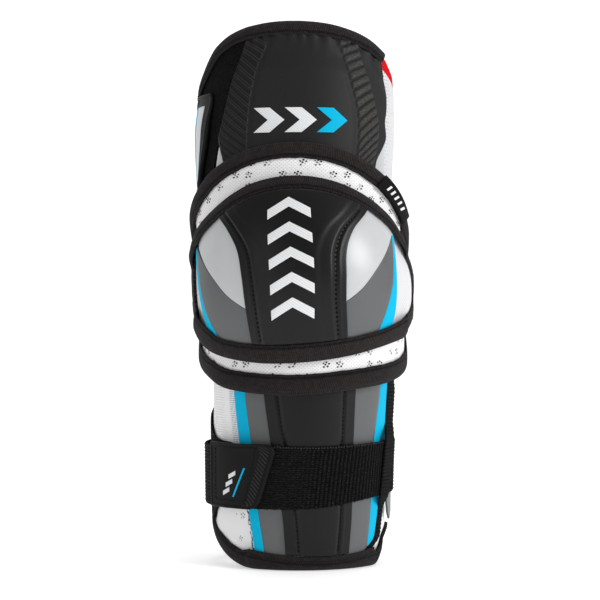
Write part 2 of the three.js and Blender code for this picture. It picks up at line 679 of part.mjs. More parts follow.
function capPanels(group, side, name) {
  const leaf = (u) => lerp(CAP_INNER, CAP_LEAF_END, u);
  const leafLine = (local, lift) => capPlace(side, local, read(CAP_LEAF, "z", local, "local") + lift);
  const topLine = (local) => {
    const bearing = CAP_TURN + side * local;
    return [bearing, capTop(bearing)];
  };
  const foot = CAP_BLUE[0];
  const [footIn, footOut] = [foot[`${name}In`], foot[`${name}Out`]];
  const footLine = (local) => {
    const bearing = CAP_TURN + side * local;
    return [bearing, capBottom(bearing)];
  };
  const between = (a, b) => (t) => [lerp(a[0], b[0], t), lerp(a[1], b[1], t)];
  const offsets = { inner: onCap(capPanelIn), outer: onCap(capPanelOut) };
  piece(group, `cap_light_panel_${name}`, LIGHT_GREY, wall({
    columns: 4,
    rows: 6,
    at: patch({
      bottom: (u) => leafLine(leaf(u), GAP),
      top: (u) => topLine(leaf(u)),
      left: between(leafLine(CAP_INNER, GAP), topLine(CAP_INNER)),
      right: between(leafLine(CAP_LEAF_END, GAP), topLine(CAP_LEAF_END)),
    }),
    ...offsets,
  }));
  const blueEdge = (end, shift) => (v) => {
    const column = name + end;
    const local = foot[column] + shift;
    const low = footLine(local)[1] - CAP_ROLL * side * local;
    const z = lerp(low, CAP_BLUE_TOP, v);
    return capPlace(side, read(CAP_BLUE, column, z) + shift, z);
  };
  const darkEdge = blueEdge("In", -GAP);
  piece(group, `cap_dark_panel_${name}`, DARK_GREY, wall({
    columns: 4,
    rows: 6,
    at: patch({
      bottom: (u) => footLine(lerp(CAP_INNER, footIn - GAP, u)),
      top: (u) => {
        const end = darkEdge(1);
        const line = leafLine(leaf(u), -GAP);
        const miss = leafLine(CAP_LEAF_END, -GAP);
        return [line[0] + (end[0] - miss[0]) * u * u, line[1] + (end[1] - miss[1]) * u * u];
      },
      left: between(footLine(CAP_INNER), leafLine(CAP_INNER, -GAP)),
      right: darkEdge,
    }),
    ...offsets,
  }));
  const [inside, outside] = [blueEdge("In", GAP), blueEdge("Out", 0)];
  piece(group, `cap_blue_trim_${name}`, BLUE, wall({
    columns: 1,
    rows: 8,
    at: patch({
      bottom: (u) => footLine(lerp(footIn + GAP, footOut, u)),
      top: between(inside(1), outside(1)),
      left: inside,
      right: outside,
    }),
    ...offsets,
  }));
}

// The stitched plate keeps clear of the tapes above and below it
function capPlate() {
  const clear = (bearing, edge, leg) => (leg + 2 * GAP) * edgeFrame(bearing, edge).slant;
  const plateMiddle = (z) => CAP_TURN + read(CAP_PLATE, "middle", z);
  const at = (u, v) => {
    let [bearing, z] = [CAP_TURN, SEAM_Z];
    for (let i = 0; i < PASSES; i++) {
      bearing = plateMiddle(z) + lerp(-1, 1, u) * read(CAP_PLATE, "half", z);
      const low = capBottom(bearing) + clear(bearing, capBottom, CAP_BOTTOM_TAPE);
      const high = capTop(bearing) - clear(bearing, capTop, CAP_TOP_TAPE);
      z = lerp(low, high, v);
    }
    return [bearing, z];
  };
  const thickness = (bearing, z) => {
    const inside = 1 - Math.abs(bearing - plateMiddle(z)) / read(CAP_PLATE, "half", z);
    return lerp(PLATE_FLANGE, PLATE_THICK, smoothstep(inside, CAP_PLATE_SLOPE.from, CAP_PLATE_SLOPE.to));
  };
  const outer = (bearing, z) => capIn(bearing, z) + capPlateIn + thickness(bearing, z);
  return wall({ columns: 8, rows: 8, at, inner: onCap(capPlateIn), outer });
}

function elbow() {
  const group = new THREE.Group();
  const span = { columns: 32, from: -SLEEVE_TIP, to: SLEEVE_TIP };
  piece(group, "elbow_sleeve", WHITE_MESH,
    lens(span.columns, 5, span.from, span.to, sleeveBottom, sleeveTop, sleeveIn, onSleeve(SLEEVE_THICK)));
  const sleeveTape = (leg) => (bearing) => {
    const room = TIP_SHARE * (sleeveTop(bearing) - sleeveBottom(bearing));
    return edgeProfile(Math.min(leg, room), 0, SLEEVE_THICK + 2 * GAP);
  };
  const topTape = { ...span, edge: sleeveTop, side: 1, base: sleeveIn };
  const bottomTape = { ...span, edge: sleeveBottom, side: -1, base: sleeveIn };
  piece(group, "sleeve_binding_top", BLACK_TAPE,
    tape({ ...topTape, profile: sleeveTape(SLEEVE_TOP_TAPE) }));
  piece(group, "sleeve_binding_bottom", BLACK_TAPE,
    tape({ ...bottomTape, profile: sleeveTape(SLEEVE_BOTTOM_TAPE) }));
  const labelIn = SLEEVE_THICK + 3 * GAP + TAPE_THICK;
  piece(group, "sleeve_label", BLACK_TAPE, tape({
    ...topTape,
    columns: 4,
    from: LABEL.from,
    to: LABEL.to,
    profile: () => [[-SLEEVE_TOP_TAPE - GAP, labelIn], [-SLEEVE_TOP_TAPE - GAP, labelIn + LABEL_THICK],
      [0, labelIn + LABEL_THICK], [0, labelIn]],
  }));
  const capSpan = { columns: 24, from: CAP_FROM, to: CAP_TO };
  piece(group, "elbow_cap", WHITE_MESH,
    lens(capSpan.columns, 7, CAP_FROM, CAP_TO, capBottom, capTop, capIn, onCap(CAP_THICK)));
  const capTape = (leg) => (bearing) => {
    const room = TIP_SHARE * (capTop(bearing) - capBottom(bearing));
    const beside = smoothstep(Math.abs(bearing - CAP_TURN), CAP_SIDE.from, CAP_SIDE.to);
    return edgeProfile(Math.min(leg, room), 0, lerp(capPlateIn + GAP / 2, CAP_THICK + 2 * GAP, beside));
  };
  const capTopTape = { ...capSpan, edge: capTop, side: 1, base: capIn };
  const capBottomTape = { ...capSpan, edge: capBottom, side: -1, base: capIn };
  piece(group, "cap_binding_top", BLACK_TAPE,
    tape({ ...capTopTape, profile: capTape(CAP_TOP_TAPE) }));
  piece(group, "cap_binding_bottom", BLACK_TAPE,
    tape({ ...capBottomTape, profile: capTape(CAP_BOTTOM_TAPE) }));
  capPanels(group, -1, "left");
  capPanels(group, 1, "right");
  piece(group, "cap_centre_plate", BLACK_MOULD, capPlate());
  return group;
}

// A forearm panel between two of the band edges, from the lower rim up under the sleeve
function band(columns, leftOf, rightOf, inner, outer, low = (bearing) => lowerWallEdge(bearing) + 2 * GAP) {
  const at = (u, v) => {
    let [bearing, z] = [0, 0];
    for (let i = 0; i < PASSES; i++) {
      bearing = lerp(leftOf(z), rightOf(z), u);
      z = lerp(low(bearing), PANEL_HIGH, v);
    }
    return [bearing, z];
  };
  return wall({ columns, rows: 8, at, inner, outer });
}

const bandEdge = (column, shift = 0) => (z) => read(FOREARM_BANDS, column, z) + shift;

function forearmPanels(group) {
  const skin = [panelIn, panelOut];
  piece(group, "forearm_grey_panel_left", DARK_GREY,
    band(3, bandEdge("greyLeft", GAP / 2), bandEdge("plateLeft", UNDER_PLATE), ...skin));
  piece(group, "forearm_grey_panel_right", DARK_GREY,
    band(4, bandEdge("plateRight", -UNDER_PLATE), bandEdge("greyRight", -GAP / 2), ...skin));
  piece(group, "forearm_blue_trim_left", BLUE,
    band(2, bandEdge("blueLeft"), bandEdge("greyLeft", -GAP / 2), ...skin));
  piece(group, "forearm_blue_trim_right", BLUE,
    band(2, bandEdge("greyRight", GAP / 2), bandEdge("blueRight"), ...skin));
  const [left, right] = [bandEdge("plateLeft"), bandEdge("plateRight")];
  const thickness = (bearing, z) => {
    const inside = Math.min(bearing - left(z), right(z) - bearing);
    return lerp(PLATE_FLANGE, PLATE_THICK, smoothstep(inside, PLATE_SLOPE.from, PLATE_SLOPE.to));
  };
  const plateOuter = (bearing, z) => plateIn + thickness(bearing, z);
  piece(group, "forearm_centre_plate", BLACK_MOULD,
    band(8, left, right, plateIn, plateOuter, () => plateLow));
}

// The webbing lies on the wrap with its outer side tilted out, and bends out over the strap
function edgeWebbing() {
  const strapEnd = STRAP_EDGE.at(-1);
  const past = (distance) => smoothstep(distance, WEBBING.clear, WEBBING.clear + WEBBING.ramp);
  const over = (z) => 1 - clamp(past(strapEnd.low - z) + past(z - strapEnd.high), 0, 1);
  const front = (z) => {
    const shift = WEBBING_SHIFT.turn * smoothstep(over(z), WEBBING_SHIFT.from, 1);
    return read(FOREARM_BANDS, "blueRight", z) + 2 * GAP - shift;
  };
  const lift = (bearing, z) => {
    const across = (bearing - front(z)) / WEBBING.width;
    const tilt = WEBBING_TILT.rise * (1 - smoothstep(z, WEBBING_TILT.from, WEBBING_TILT.to));
    return lerp(panelIn + tilt * across, frontStrapIn(bearing) + STRAP_THICK + GAP, over(z));
  };
  return wall({
    columns: 2,
    rows: 18,
    at: (u, v) => {
      const z = lerp(WEBBING.low, WEBBING.high, v);
      return [front(z) + u * WEBBING.width, z];
    },
    inner: lift,
    outer: (bearing, z) => lift(bearing, z) + PANEL_THICK,
  });
}

function frontStrapIn(bearing) {
  const left = smoothstep(-bearing, STRAP_SIDE.leftFrom, STRAP_SIDE.leftTo);
  const right = smoothstep(bearing, STRAP_SIDE.rightFrom, STRAP_SIDE.rightTo);
  return lerp(strapIn, STRAP_SIDE.in, left + right);
}

const strapLow = (bearing) => read(STRAP_EDGE, "low", bearing, "bearing");
const strapHigh = (bearing) => read(STRAP_EDGE, "high", bearing, "bearing");

function straps(group) {
  const offsets = { inner: frontStrapIn, outer: (bearing) => frontStrapIn(bearing) + STRAP_THICK };
  piece(group, "forearm_loop_strap", BLACK_STRAP,
    lens(14, 1, STRAP_LEFT, STRAP_RIGHT, strapLow, strapHigh, offsets.inner, offsets.outer));
  // Round the back the elastic runs from the right end of the loop strap to under the tab on the left
  const elasticFrom = STRAP_RIGHT + GAP;
  const elasticTo = 360 + STRAP_LEFT - GAP;
  const round = (bearing) => (bearing > 180 ? bearing - 360 : bearing);
  const blend = (column) => (bearing) => {
    const t = smoothstep(bearing, elasticFrom, elasticTo);
    return lerp(STRAP_EDGE.at(-1)[column], STRAP_EDGE[0][column], t);
  };
  const elasticIn = (bearing) => frontStrapIn(round(bearing));
  const elasticOut = (bearing) => elasticIn(bearing) + STRAP_THICK;
  piece(group, "forearm_elastic_strap", BLACK_STRAP,
    lens(24, 1, elasticFrom, elasticTo, blend("low"), blend("high"), elasticIn, elasticOut));
  const tabIn = strapIn + STRAP_THICK + GAP;
  piece(group, "forearm_strap_tab", RUBBER, wall({
    columns: 6,
    rows: 5,
    at: (u, v) => {
      const z = lerp(TAB.low, TAB.high, v);
      return [lerp(TAB.back, read(TAB_FRONT, "edge", z), u), z];
    },
    inner: tabIn,
    outer: tabIn + TAB_THICK,
  }));
}

function forearm() {
  const group = new THREE.Group();
  piece(group, "forearm_wrap", WHITE_MESH, wrap(lowerWallEdge, () => SEAM_Z - GAP / 2, false));
  const overPanels = (bearing) => {
    const left = smoothstep(bearing, LOWER_TAPE_LIFT.from, LOWER_TAPE_LIFT.full);
    const right = 1 - smoothstep(bearing, LOWER_TAPE_LIFT.fullTo, LOWER_TAPE_LIFT.to);
    return left * right;
  };
  piece(group, "forearm_binding", BLACK_TAPE, tape({
    columns: WRAP_COLUMNS,
    from: -WRAP_SPAN,
    to: WRAP_SPAN,
    edge: lowerWallEdge,
    side: -1,
    profile: (bearing) => rimProfile(FOREARM_TAPE, lerp(panelIn, plateIn, overPanels(bearing))),
  }));
  piece(group, "forearm_panel_tape", BLACK_TAPE, lens(12, 1,
    FOREARM_BANDS[0].blueLeft - 1, FOREARM_BANDS[0].blueRight - 1,
    () => panelTapeLow, () => panelTapeLow + PANEL_TAPE, plateIn, plateIn + TAPE_THICK));
  const flapEdge = (column, bearing) => read(FLAP_EDGE, column, bearing, "bearing");
  const flapLow = (bearing) => {
    const leg = (FOREARM_TAPE + 2 * GAP) * edgeFrame(bearing, lowerWallEdge).slant;
    return Math.max(flapEdge("low", bearing), lowerWallEdge(bearing) + leg);
  };
  const flapHigh = (bearing) => flapEdge("high", bearing);
  const flapIn = panelIn + GAP / 2;
  piece(group, "forearm_back_flap", BLACK_STRAP,
    lens(17, 5, FLAP.back, FLAP.front, flapLow, flapHigh, flapIn, flapIn + PANEL_THICK));
  forearmPanels(group);
  piece(group, "forearm_edge_webbing", BLACK_TAPE, edgeWebbing());
  straps(group);
  piece(group, "webbing_end", DARK_GREY, wall({
    columns: 2,
    rows: 1,
    at: (u, v) => {
      const low = lerp(WEBBING_END.low, WEBBING_END.tip, 1 - Math.abs(2 * u - 1));
      return [lerp(WEBBING_END.from, WEBBING_END.to, u), lerp(low, WEBBING_END.high, v)];
    },
    inner: panelIn,
    outer: panelIn + PANEL_THICK,
  }));
  return group;
}

const pad = new THREE.Group();
pad.add(upperArm(), elbow(), forearm());

export default pad;
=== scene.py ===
"""The looks of the hockey elbow pad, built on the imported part's own surfaces.

Sizes are millimetres until a point is placed, then metres. A bearing is an angle round the arm in
degrees, 0 at the front and positive towards +X. An offset is a distance outwards from the liner that
touches the arm.
"""
import json
import math

import bpy
import numpy as np
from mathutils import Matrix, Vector


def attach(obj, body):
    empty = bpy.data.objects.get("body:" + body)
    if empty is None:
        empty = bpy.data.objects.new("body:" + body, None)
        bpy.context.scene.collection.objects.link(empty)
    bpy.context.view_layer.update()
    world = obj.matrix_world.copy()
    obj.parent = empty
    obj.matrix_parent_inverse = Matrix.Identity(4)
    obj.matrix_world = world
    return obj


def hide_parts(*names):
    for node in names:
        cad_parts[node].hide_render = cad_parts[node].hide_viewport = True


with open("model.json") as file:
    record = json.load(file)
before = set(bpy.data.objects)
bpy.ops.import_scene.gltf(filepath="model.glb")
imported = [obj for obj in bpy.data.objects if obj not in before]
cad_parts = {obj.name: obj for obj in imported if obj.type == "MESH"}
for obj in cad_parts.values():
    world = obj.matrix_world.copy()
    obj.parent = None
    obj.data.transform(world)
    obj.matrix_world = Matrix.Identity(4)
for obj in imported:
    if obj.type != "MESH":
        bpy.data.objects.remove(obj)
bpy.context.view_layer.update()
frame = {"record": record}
SLOTS = {row["node"]: row["material_slot"] for row in frame["record"]["subparts"]}
MM = 0.001
TAU = 2 * math.pi

# Thicknesses shared with the part
PAD_HEIGHT = 328.5
GAP = 0.4
WRAP_THICK = 6
PANEL_THICK = 1.4
PLATE_FLANGE = 1.2
PLATE_THICK = 2.4
GUARD_THICK = 2.6
GUARD_LIP = 1.2
RIB_HEIGHT = 1.1
UNDERLAY_THICK = 1
LOOP_THICK = 1.5
STRAP_THICK = 1.6
TAB_THICK = 2.8
UPPER_TAB_THICK = 3.4
TAPE_THICK = 1.4
SLEEVE_THICK = 4.6
CAP_THICK = 2.8
CAP_RISE = 13.5
LABEL_THICK = 0.8

# Widths of the tapes, and where pieces start and end
UPPER_TAPE = 7
SLEEVE_TOP_TAPE = 8
SLEEVE_BOTTOM_TAPE = 10.5
CAP_TOP_TAPE = 5.5
CAP_BOTTOM_TAPE = 8.5
FOREARM_TAPE = 5.9
PAD_CENTRE = (0.5, -6.5)
SEAM_Z = 168
WRAP_SPAN = 166
SEAM_EASE = 1.3
CREASE_HALF = 54
CREASE_DEPTH = 34
TIP_SHARE = 0.4
SLEEVE_TIP = 102
CAP_FROM, CAP_TO = -82, 86
DOME_MIDDLE, DOME_HALF = 0.5, 75.5
CAP_TURN = -4
CAP_ROLL = 0.07
CAP_INNER = 17
CAP_LEAF_END = 49.3
CAP_BLUE_TOP = 195.5
PANEL_HIGH = 150
UNDER_PLATE = 3
UNDERLAY_LOW, UNDERLAY_HIGH, UNDERLAY_END = 200, 263, 60.5
GUARD_FOOT, GUARD_FOOT_HALF = 206, 44
LOOP_FOOT, LOOP_BACK = 214, -112
UPPER_STRAP_FROM, UPPER_STRAP_LOW, UPPER_STRAP_HIGH = 118, 228, 276
UPPER_TAB_BACK, UPPER_TAB_LOW, UPPER_TAB_HIGH = -96, 226, 287
LABEL_FROM, LABEL_TO = 46.5, 72
PANEL_TAPE_FROM, PANEL_TAPE_TO = -44, 54
FLAP_FROM, FLAP_TO = -206, -48
STRAP_FROM, STRAP_TO = -46, 79
ELASTIC_FROM, ELASTIC_TO = 78, 314
STRAP_SIDE_IN = 9.5
TAB_BACK, TAB_LOW, TAB_HIGH = -60, 36.5, 75.5
WEBBING_LOW, WEBBING_HIGH = 9.5, 138
WEBBING_END_IN = 8.6
RIB_PITCH = 4.9
RIB_TOP = 309.5

# Sizes of the looks alone
CLOSE = 0.03
UNDER_DARK = 3
ARC_RADIUS = 58
PASSES = 6
BARE_RIM_RISE = 4
STITCH_RISE = 1.3
STITCH_SIDES = 6
STITCH = ((-1, 0.25, -0.5), (-0.62, 0.85, 0.1), (0, 1, 0.35), (0.62, 0.85, 0.1), (1, 0.25, -0.5))
ELASTIC_RIB, WEBBING_RIB, WALE = 2.1, 2.4, 2.5
WALE_LEAN = 0.1
WALES_FROM, WALES_FULL = -12, 22
CLUSTER_ROW, CLUSTER_REPEAT = 7.0, 25.4
CAP_SEAM, LEFT_SEAM, RIGHT_SEAM = 5.6, 8.0, 7.6
DEGREE_ON_CAP, DEGREE_ON_FOREARM, DEGREE_ON_TAB = 1.3, 0.97, 1.09

# Layers, each worked out from the one below
PANEL_IN = WRAP_THICK + GAP
PANEL_OUT = PANEL_IN + PANEL_THICK
PLATE_IN = PANEL_OUT + GAP
STRAP_IN = PLATE_IN + PLATE_THICK + GAP
TAB_IN = STRAP_IN + STRAP_THICK + GAP
GUARD_IN = PANEL_IN + UNDERLAY_THICK + 1.5 * GAP
LOOP_OUT = PANEL_IN + LOOP_THICK
SLEEVE_FRONT = GUARD_IN + GUARD_THICK + RIB_HEIGHT + GAP
SLEEVE_TAPE_IN = SLEEVE_THICK + 2 * GAP
LABEL_IN = SLEEVE_TAPE_IN + TAPE_THICK + GAP
LABEL_OUT = LABEL_IN + LABEL_THICK
CAP_SEAT = SLEEVE_THICK + 2 * GAP
CAP_PANEL_IN = CAP_THICK + 3 * GAP
CAP_PANEL_OUT = CAP_PANEL_IN + PANEL_THICK
CAP_PLATE_IN = CAP_PANEL_OUT + 1.5 * GAP
TAPE_EDGE = GAP + TAPE_THICK


def table(names, rows):
    return dict(zip(names.split(), np.array(rows, float).T))


ARM = table("z x y wide deep", [
    (0, 0, 0, 46, 44), (60, 0, -1, 47, 45), (120, 1.3, -1, 48.7, 46), (170, 1.5, 1, 48, 47),
    (220, -0.8, 6, 51.2, 48), (275, -0.7, 14, 53.8, 50), (335, 0, 23, 49.5, 49)])
UPPER_RIM = table("turn left right", [
    (0, 0, 0), (12, 0.1, 0.8), (24, 1.1, 2.6), (42, 4.4, 7.6), (58, 11.5, 15.4), (66, 18.5, 20.5),
    (75, 27, 26.5), (90, 35.5, 33), (112, 39, 38), (140, 39, 39), (166, 39, 39)])
LOWER_RIM = table("bearing z", [
    (-166, 0), (-138, 0), (-115, 11), (-97, 20), (-84, 19), (-71, 11.8), (-56, 4.8), (-42, 0.6), (-32, 0),
    (-20, 0), (40, 0), (52, 0), (58, 0.5), (64, 7), (70, 13.5), (80, 18), (94, 20.5), (115, 11), (138, 0),
    (166, 0)])
GUARD = table("z left right", [
    (206, -44, 44), (244, -46.3, 48), (251, -48.3, 49.3), (259.5, -50.1, 53.9), (266.5, -47.5, 56.8),
    (277, -44.4, 55.4), (288, -41.9, 57), (306, -37, 56.8), (328, -30.5, 55)])
LOOP_FRONT = table("z edge", [
    (214, -66), (240, -58), (251, -54.5), (259.5, -51), (266.5, -48.4), (277, -45.3), (288, -42.8),
    (306, -37.9), (328, -31.4)])
RIB_BANDS = table("z left_out left_in right_in right_out", [
    (240, -45.2, -28.2, 32, 46), (250, -47.2, -28.4, 32.9, 47.6), (259, -48.6, -28.2, 33.4, 49.2),
    (270, -45.5, -27.6, 33, 48.2), (280, -42.7, -26.7, 31.4, 45.6), (292, -39.8, -24.9, 28.6, 42.2),
    (303, -36.9, -22.4, 26.1, 39.3), (314, -34, -18.5, 22.9, 36)])
UPPER_TAB_FRONT = table("z edge", [
    (226, -79), (234, -75), (246, -67), (258, -61.7), (272, -58.5), (283, -56.5), (287, -59)])
SLEEVE_EDGE = table("bearing top bottom", [
    (-102, 173, 150), (-90, 196, 128.5), (-75, 216.5, 118), (-61, 229, 113), (-45, 240.5, 107.8),
    (-22, 251, 105), (0, 253.8, 104.6), (22, 249.6, 106.8), (45, 237.5, 109.7), (61, 224.8, 112.2),
    (75, 209.5, 115.8), (90, 192, 124.5), (102, 172, 146)])
CAP_EDGE = table("bearing top bottom", [
    (-82, 164.5, 157), (-77, 175, 150.5), (-70, 186, 142.5), (-60, 200.5, 134), (-45, 213.3, 127.6),
    (-22, 229, 123.5), (0, 233.5, 124), (22, 228, 127.5), (45, 212.3, 133.8), (60, 195, 137.8),
    (70, 184.5, 142.5), (80, 173, 150.5), (86, 164.5, 157)])
CAP_LEAF = table("local z", [
    (17, 154.5), (21.5, 157.9), (29, 165.6), (35.6, 175.7), (42.8, 187), (49.3, 197.6)])
CAP_BLUE = table("z left_in left_out right_in right_out", [
    (136, 35, 41, 39.5, 48.2), (143, 38.1, 43.6, 41.1, 48.8), (150, 41.3, 45.6, 42.5, 49.1),
    (157, 43.9, 47.2, 43.8, 48.8), (166, 46.3, 48.8, 45.2, 48.4), (178, 48.3, 50.3, 46.1, 48.2),
    (188, 49.9, 51.8, 47.1, 48.8), (197, 51.3, 52.8, 48.4, 50)])
CAP_PLATE = table("z middle half", [
    (137, 2.6, 21.4), (158, 0.9, 20.9), (175, 0.3, 21.2), (190, -0.2, 22.4), (202, -0.8, 27),
    (212, -0.5, 34), (222, 0, 40)])
BANDS = table("z blue_left grey_left plate_left plate_right grey_right blue_right", [
    (0, -29, -22, -8, 32, 47.5, 53.5), (10, -30, -23, -9, 32, 48, 54.5), (34, -34, -27, -11, 34, 51.5, 60),
    (74, -41, -32, -18, 34, 53, 66.3), (104, -46, -37, -23, 34, 57, 67), (150, -51, -42, -29, 35, 61, 70)])
STRAP_EDGE = table("bearing low high", [
    (-75, 36, 73), (-25, 36.7, 74.5), (10, 37.5, 74), (45, 42, 75.2), (80, 43.5, 75.6)])
TAB_FRONT = table("z edge", [
    (36.5, -29), (37.7, -26.8), (38.9, -24.4), (41.5, -22.6), (68.7, -14.4), (71.2, -14.2), (74.5, -16),
    (75.5, -19)])
FLAP_EDGE = table("bearing low high", [
    (-206, 18, 112), (-118, 18, 112), (-107, 18, 97), (-91, 18, 89), (-80, 20, 82.5), (-72, 31, 78),
    (-61, 39, 76), (-52, 55, 75.5), (-48, 70, 75)])


# Reading the tables and placing points
def lerp(a, b, t):
    return a + (b - a) * t


def smooth(x, low, high):
    t = np.clip((np.asarray(x, float) - low) / (high - low), 0, 1)
    return t * t * (3 - 2 * t)


def read(rows, column, at, key="z"):
    """A column read anywhere along its key by a smooth curve through the rows."""
    x, y = rows[key], rows[column]
    place = np.clip(at, x[0], x[-1])
    k = np.clip(np.searchsorted(x, place) - 1, 0, len(x) - 2)
    before, after = np.maximum(k - 1, 0), np.minimum(k + 2, len(x) - 1)
    span = x[k + 1] - x[k]
    slope_a = (y[k + 1] - y[before]) / (x[k + 1] - x[before])
    slope_b = (y[after] - y[k]) / (x[after] - x[k])
    t = (place - x[k]) / span
    ends = (2 * t**3 - 3 * t**2 + 1) * y[k] + (3 * t**2 - 2 * t**3) * y[k + 1]
    return ends + (t**3 - 2 * t**2 + t) * span * slope_a + (t**3 - t**2) * span * slope_b


def arm(bearing, z, offset):
    angle = np.radians(bearing)
    x = read(ARM, "x", z) + (read(ARM, "wide", z) + offset) * np.sin(angle)
    y = read(ARM, "y", z) - (read(ARM, "deep", z) + offset) * np.cos(angle)
    return np.stack(np.broadcast_arrays(x - PAD_CENTRE[0], y - PAD_CENTRE[1], z), -1) * MM


def waviness(a, b):
    """A gentle uneven swell between about -1 and 1, from two lengths in millimetres."""
    slow = np.sin(0.11 * a + 0.07 * b + 1.3) + np.sin(0.19 * b - 0.05 * a + 0.4)
    return 0.35 * slow + 0.3 * np.sin(0.31 * a - 0.23 * b + 2.1)


def upper_rim(bearing):
    turn = np.abs(bearing)
    drop = np.where(np.asarray(bearing) < 0, read(UPPER_RIM, "left", turn, "turn"),
                    read(UPPER_RIM, "right", turn, "turn"))
    return PAD_HEIGHT - drop


def upper_wall(bearing):
    return upper_rim(bearing) - TAPE_EDGE


def lower_wall(bearing):
    return np.maximum(0, read(LOWER_RIM, "z", bearing, "bearing")) + TAPE_EDGE


def wrap_span(z):
    near = np.clip(1 - np.abs(z - SEAM_Z) / CREASE_HALF, 0, 1)
    return WRAP_SPAN - CREASE_DEPTH * smooth(near, 0, 1)


def sleeve_in(bearing, z):
    turn = np.abs(bearing)
    low = 1 - smooth(z, 112, 196)
    tuck = np.where(np.asarray(bearing) < 0, 3, 1.8) * low * smooth(turn, 40, 74)
    return lerp(SLEEVE_FRONT - tuck, PANEL_IN, smooth(turn, 74, SLEEVE_TIP))


def edge_of(rows, column, side):
    return lambda bearing: read(rows, column, bearing, "bearing") - side * TAPE_EDGE


sleeve_top, sleeve_bottom = edge_of(SLEEVE_EDGE, "top", 1), edge_of(SLEEVE_EDGE, "bottom", -1)
cap_top, cap_bottom = edge_of(CAP_EDGE, "top", 1), edge_of(CAP_EDGE, "bottom", -1)


def cap_in(bearing, z):
    across = np.clip((bearing - DOME_MIDDLE) / DOME_HALF, -1, 1)
    low, high = cap_bottom(bearing), cap_top(bearing)
    up = np.clip((2 * z - low - high) / np.maximum(high - low, 1), -1, 1)
    return sleeve_in(bearing, z) + CAP_SEAT + CAP_RISE * (1 - across**2) * (1 - up**2)


def front_strap_in(bearing):
    turn = np.where(np.asarray(bearing) > 180, np.asarray(bearing) - 360, bearing)
    return lerp(STRAP_IN, STRAP_SIDE_IN, smooth(-turn, 60, 110) + smooth(turn, 36, 66))


def edge_frame(bearing, edge):
    """Change of bearing and height for each millimetre past an edge, and the edge's slant."""
    ahead = arm(bearing + 0.5, edge(bearing + 0.5), WRAP_THICK) / MM
    behind = arm(bearing - 0.5, edge(bearing - 0.5), WRAP_THICK) / MM
    step = ahead - behind
    run = np.hypot(step[..., 0], step[..., 1])
    length = np.hypot(run, step[..., 2])
    return -step[..., 2] / length / run, run / length, length / run


def beside(bearing, edge, side, past):
    """Bearing and height of a place past an edge: negative is on the piece, positive is off it."""
    turn, up, _ = edge_frame(bearing, edge)
    return bearing + side * past * turn, edge(bearing) + side * past * up


# Mesh makers
def make(name, points, faces, fields, material, node=None, slot=None):
    mesh = bpy.data.meshes.new(name)
    mesh.from_pydata(points.reshape(-1, 3).tolist(), [], faces)
    mesh.shade_smooth()
    for field, values in fields.items():
        mesh.attributes.new(field, "FLOAT_VECTOR", "POINT")
        mesh.attributes[field].data.foreach_set("vector", np.asarray(values, np.float32).ravel())
    mesh.materials.append(material)
    piece = bpy.data.objects.new(name, mesh)
    bpy.context.scene.collection.objects.link(piece)
    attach(piece, "root")
    if node:
        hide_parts(node)
    slot or SLOTS[node]
    return piece


def cells(ids):
    return np.stack([ids[:-1, :-1], ids[1:, :-1], ids[1:, 1:], ids[:-1, 1:]], -1).reshape(-1, 4)


def outwards(points, faces):
    """Faces of a closed mesh, turned over where they look inwards."""
    a, b, c, d = (points[faces[:, k]] for k in range(4))
    volume = (a * np.cross(b, c)).sum() + (a * np.cross(c, d)).sum()
    return faces if volume > 0 else faces[:, ::-1]


def distance_along(points, axis):
    steps = np.linalg.norm(np.diff(points, axis=axis), axis=-1)
    start = np.zeros_like(np.take(steps, [0], axis=axis))
    return np.concatenate([start, np.cumsum(steps, axis=axis)], axis=axis)


def lines(count, length, radius):
    near = min(radius / length, 0.4) * (1 - np.cos(np.linspace(0, math.pi / 2, 6)))
    middle = np.linspace(near[-1], 1 - near[-1], count + 1)
    return np.concatenate([near[:-1], middle, 1 - near[-2::-1]])


def patch_size(at, offset):
    u, v = np.meshgrid(np.linspace(0, 1, 9), np.linspace(0, 1, 9), indexing="ij")
    bearing, z = at(u, v)
    points = arm(bearing, z, offset) / MM
    return distance_along(points, 0)[-1].max(), distance_along(points, 1)[:, -1].max()


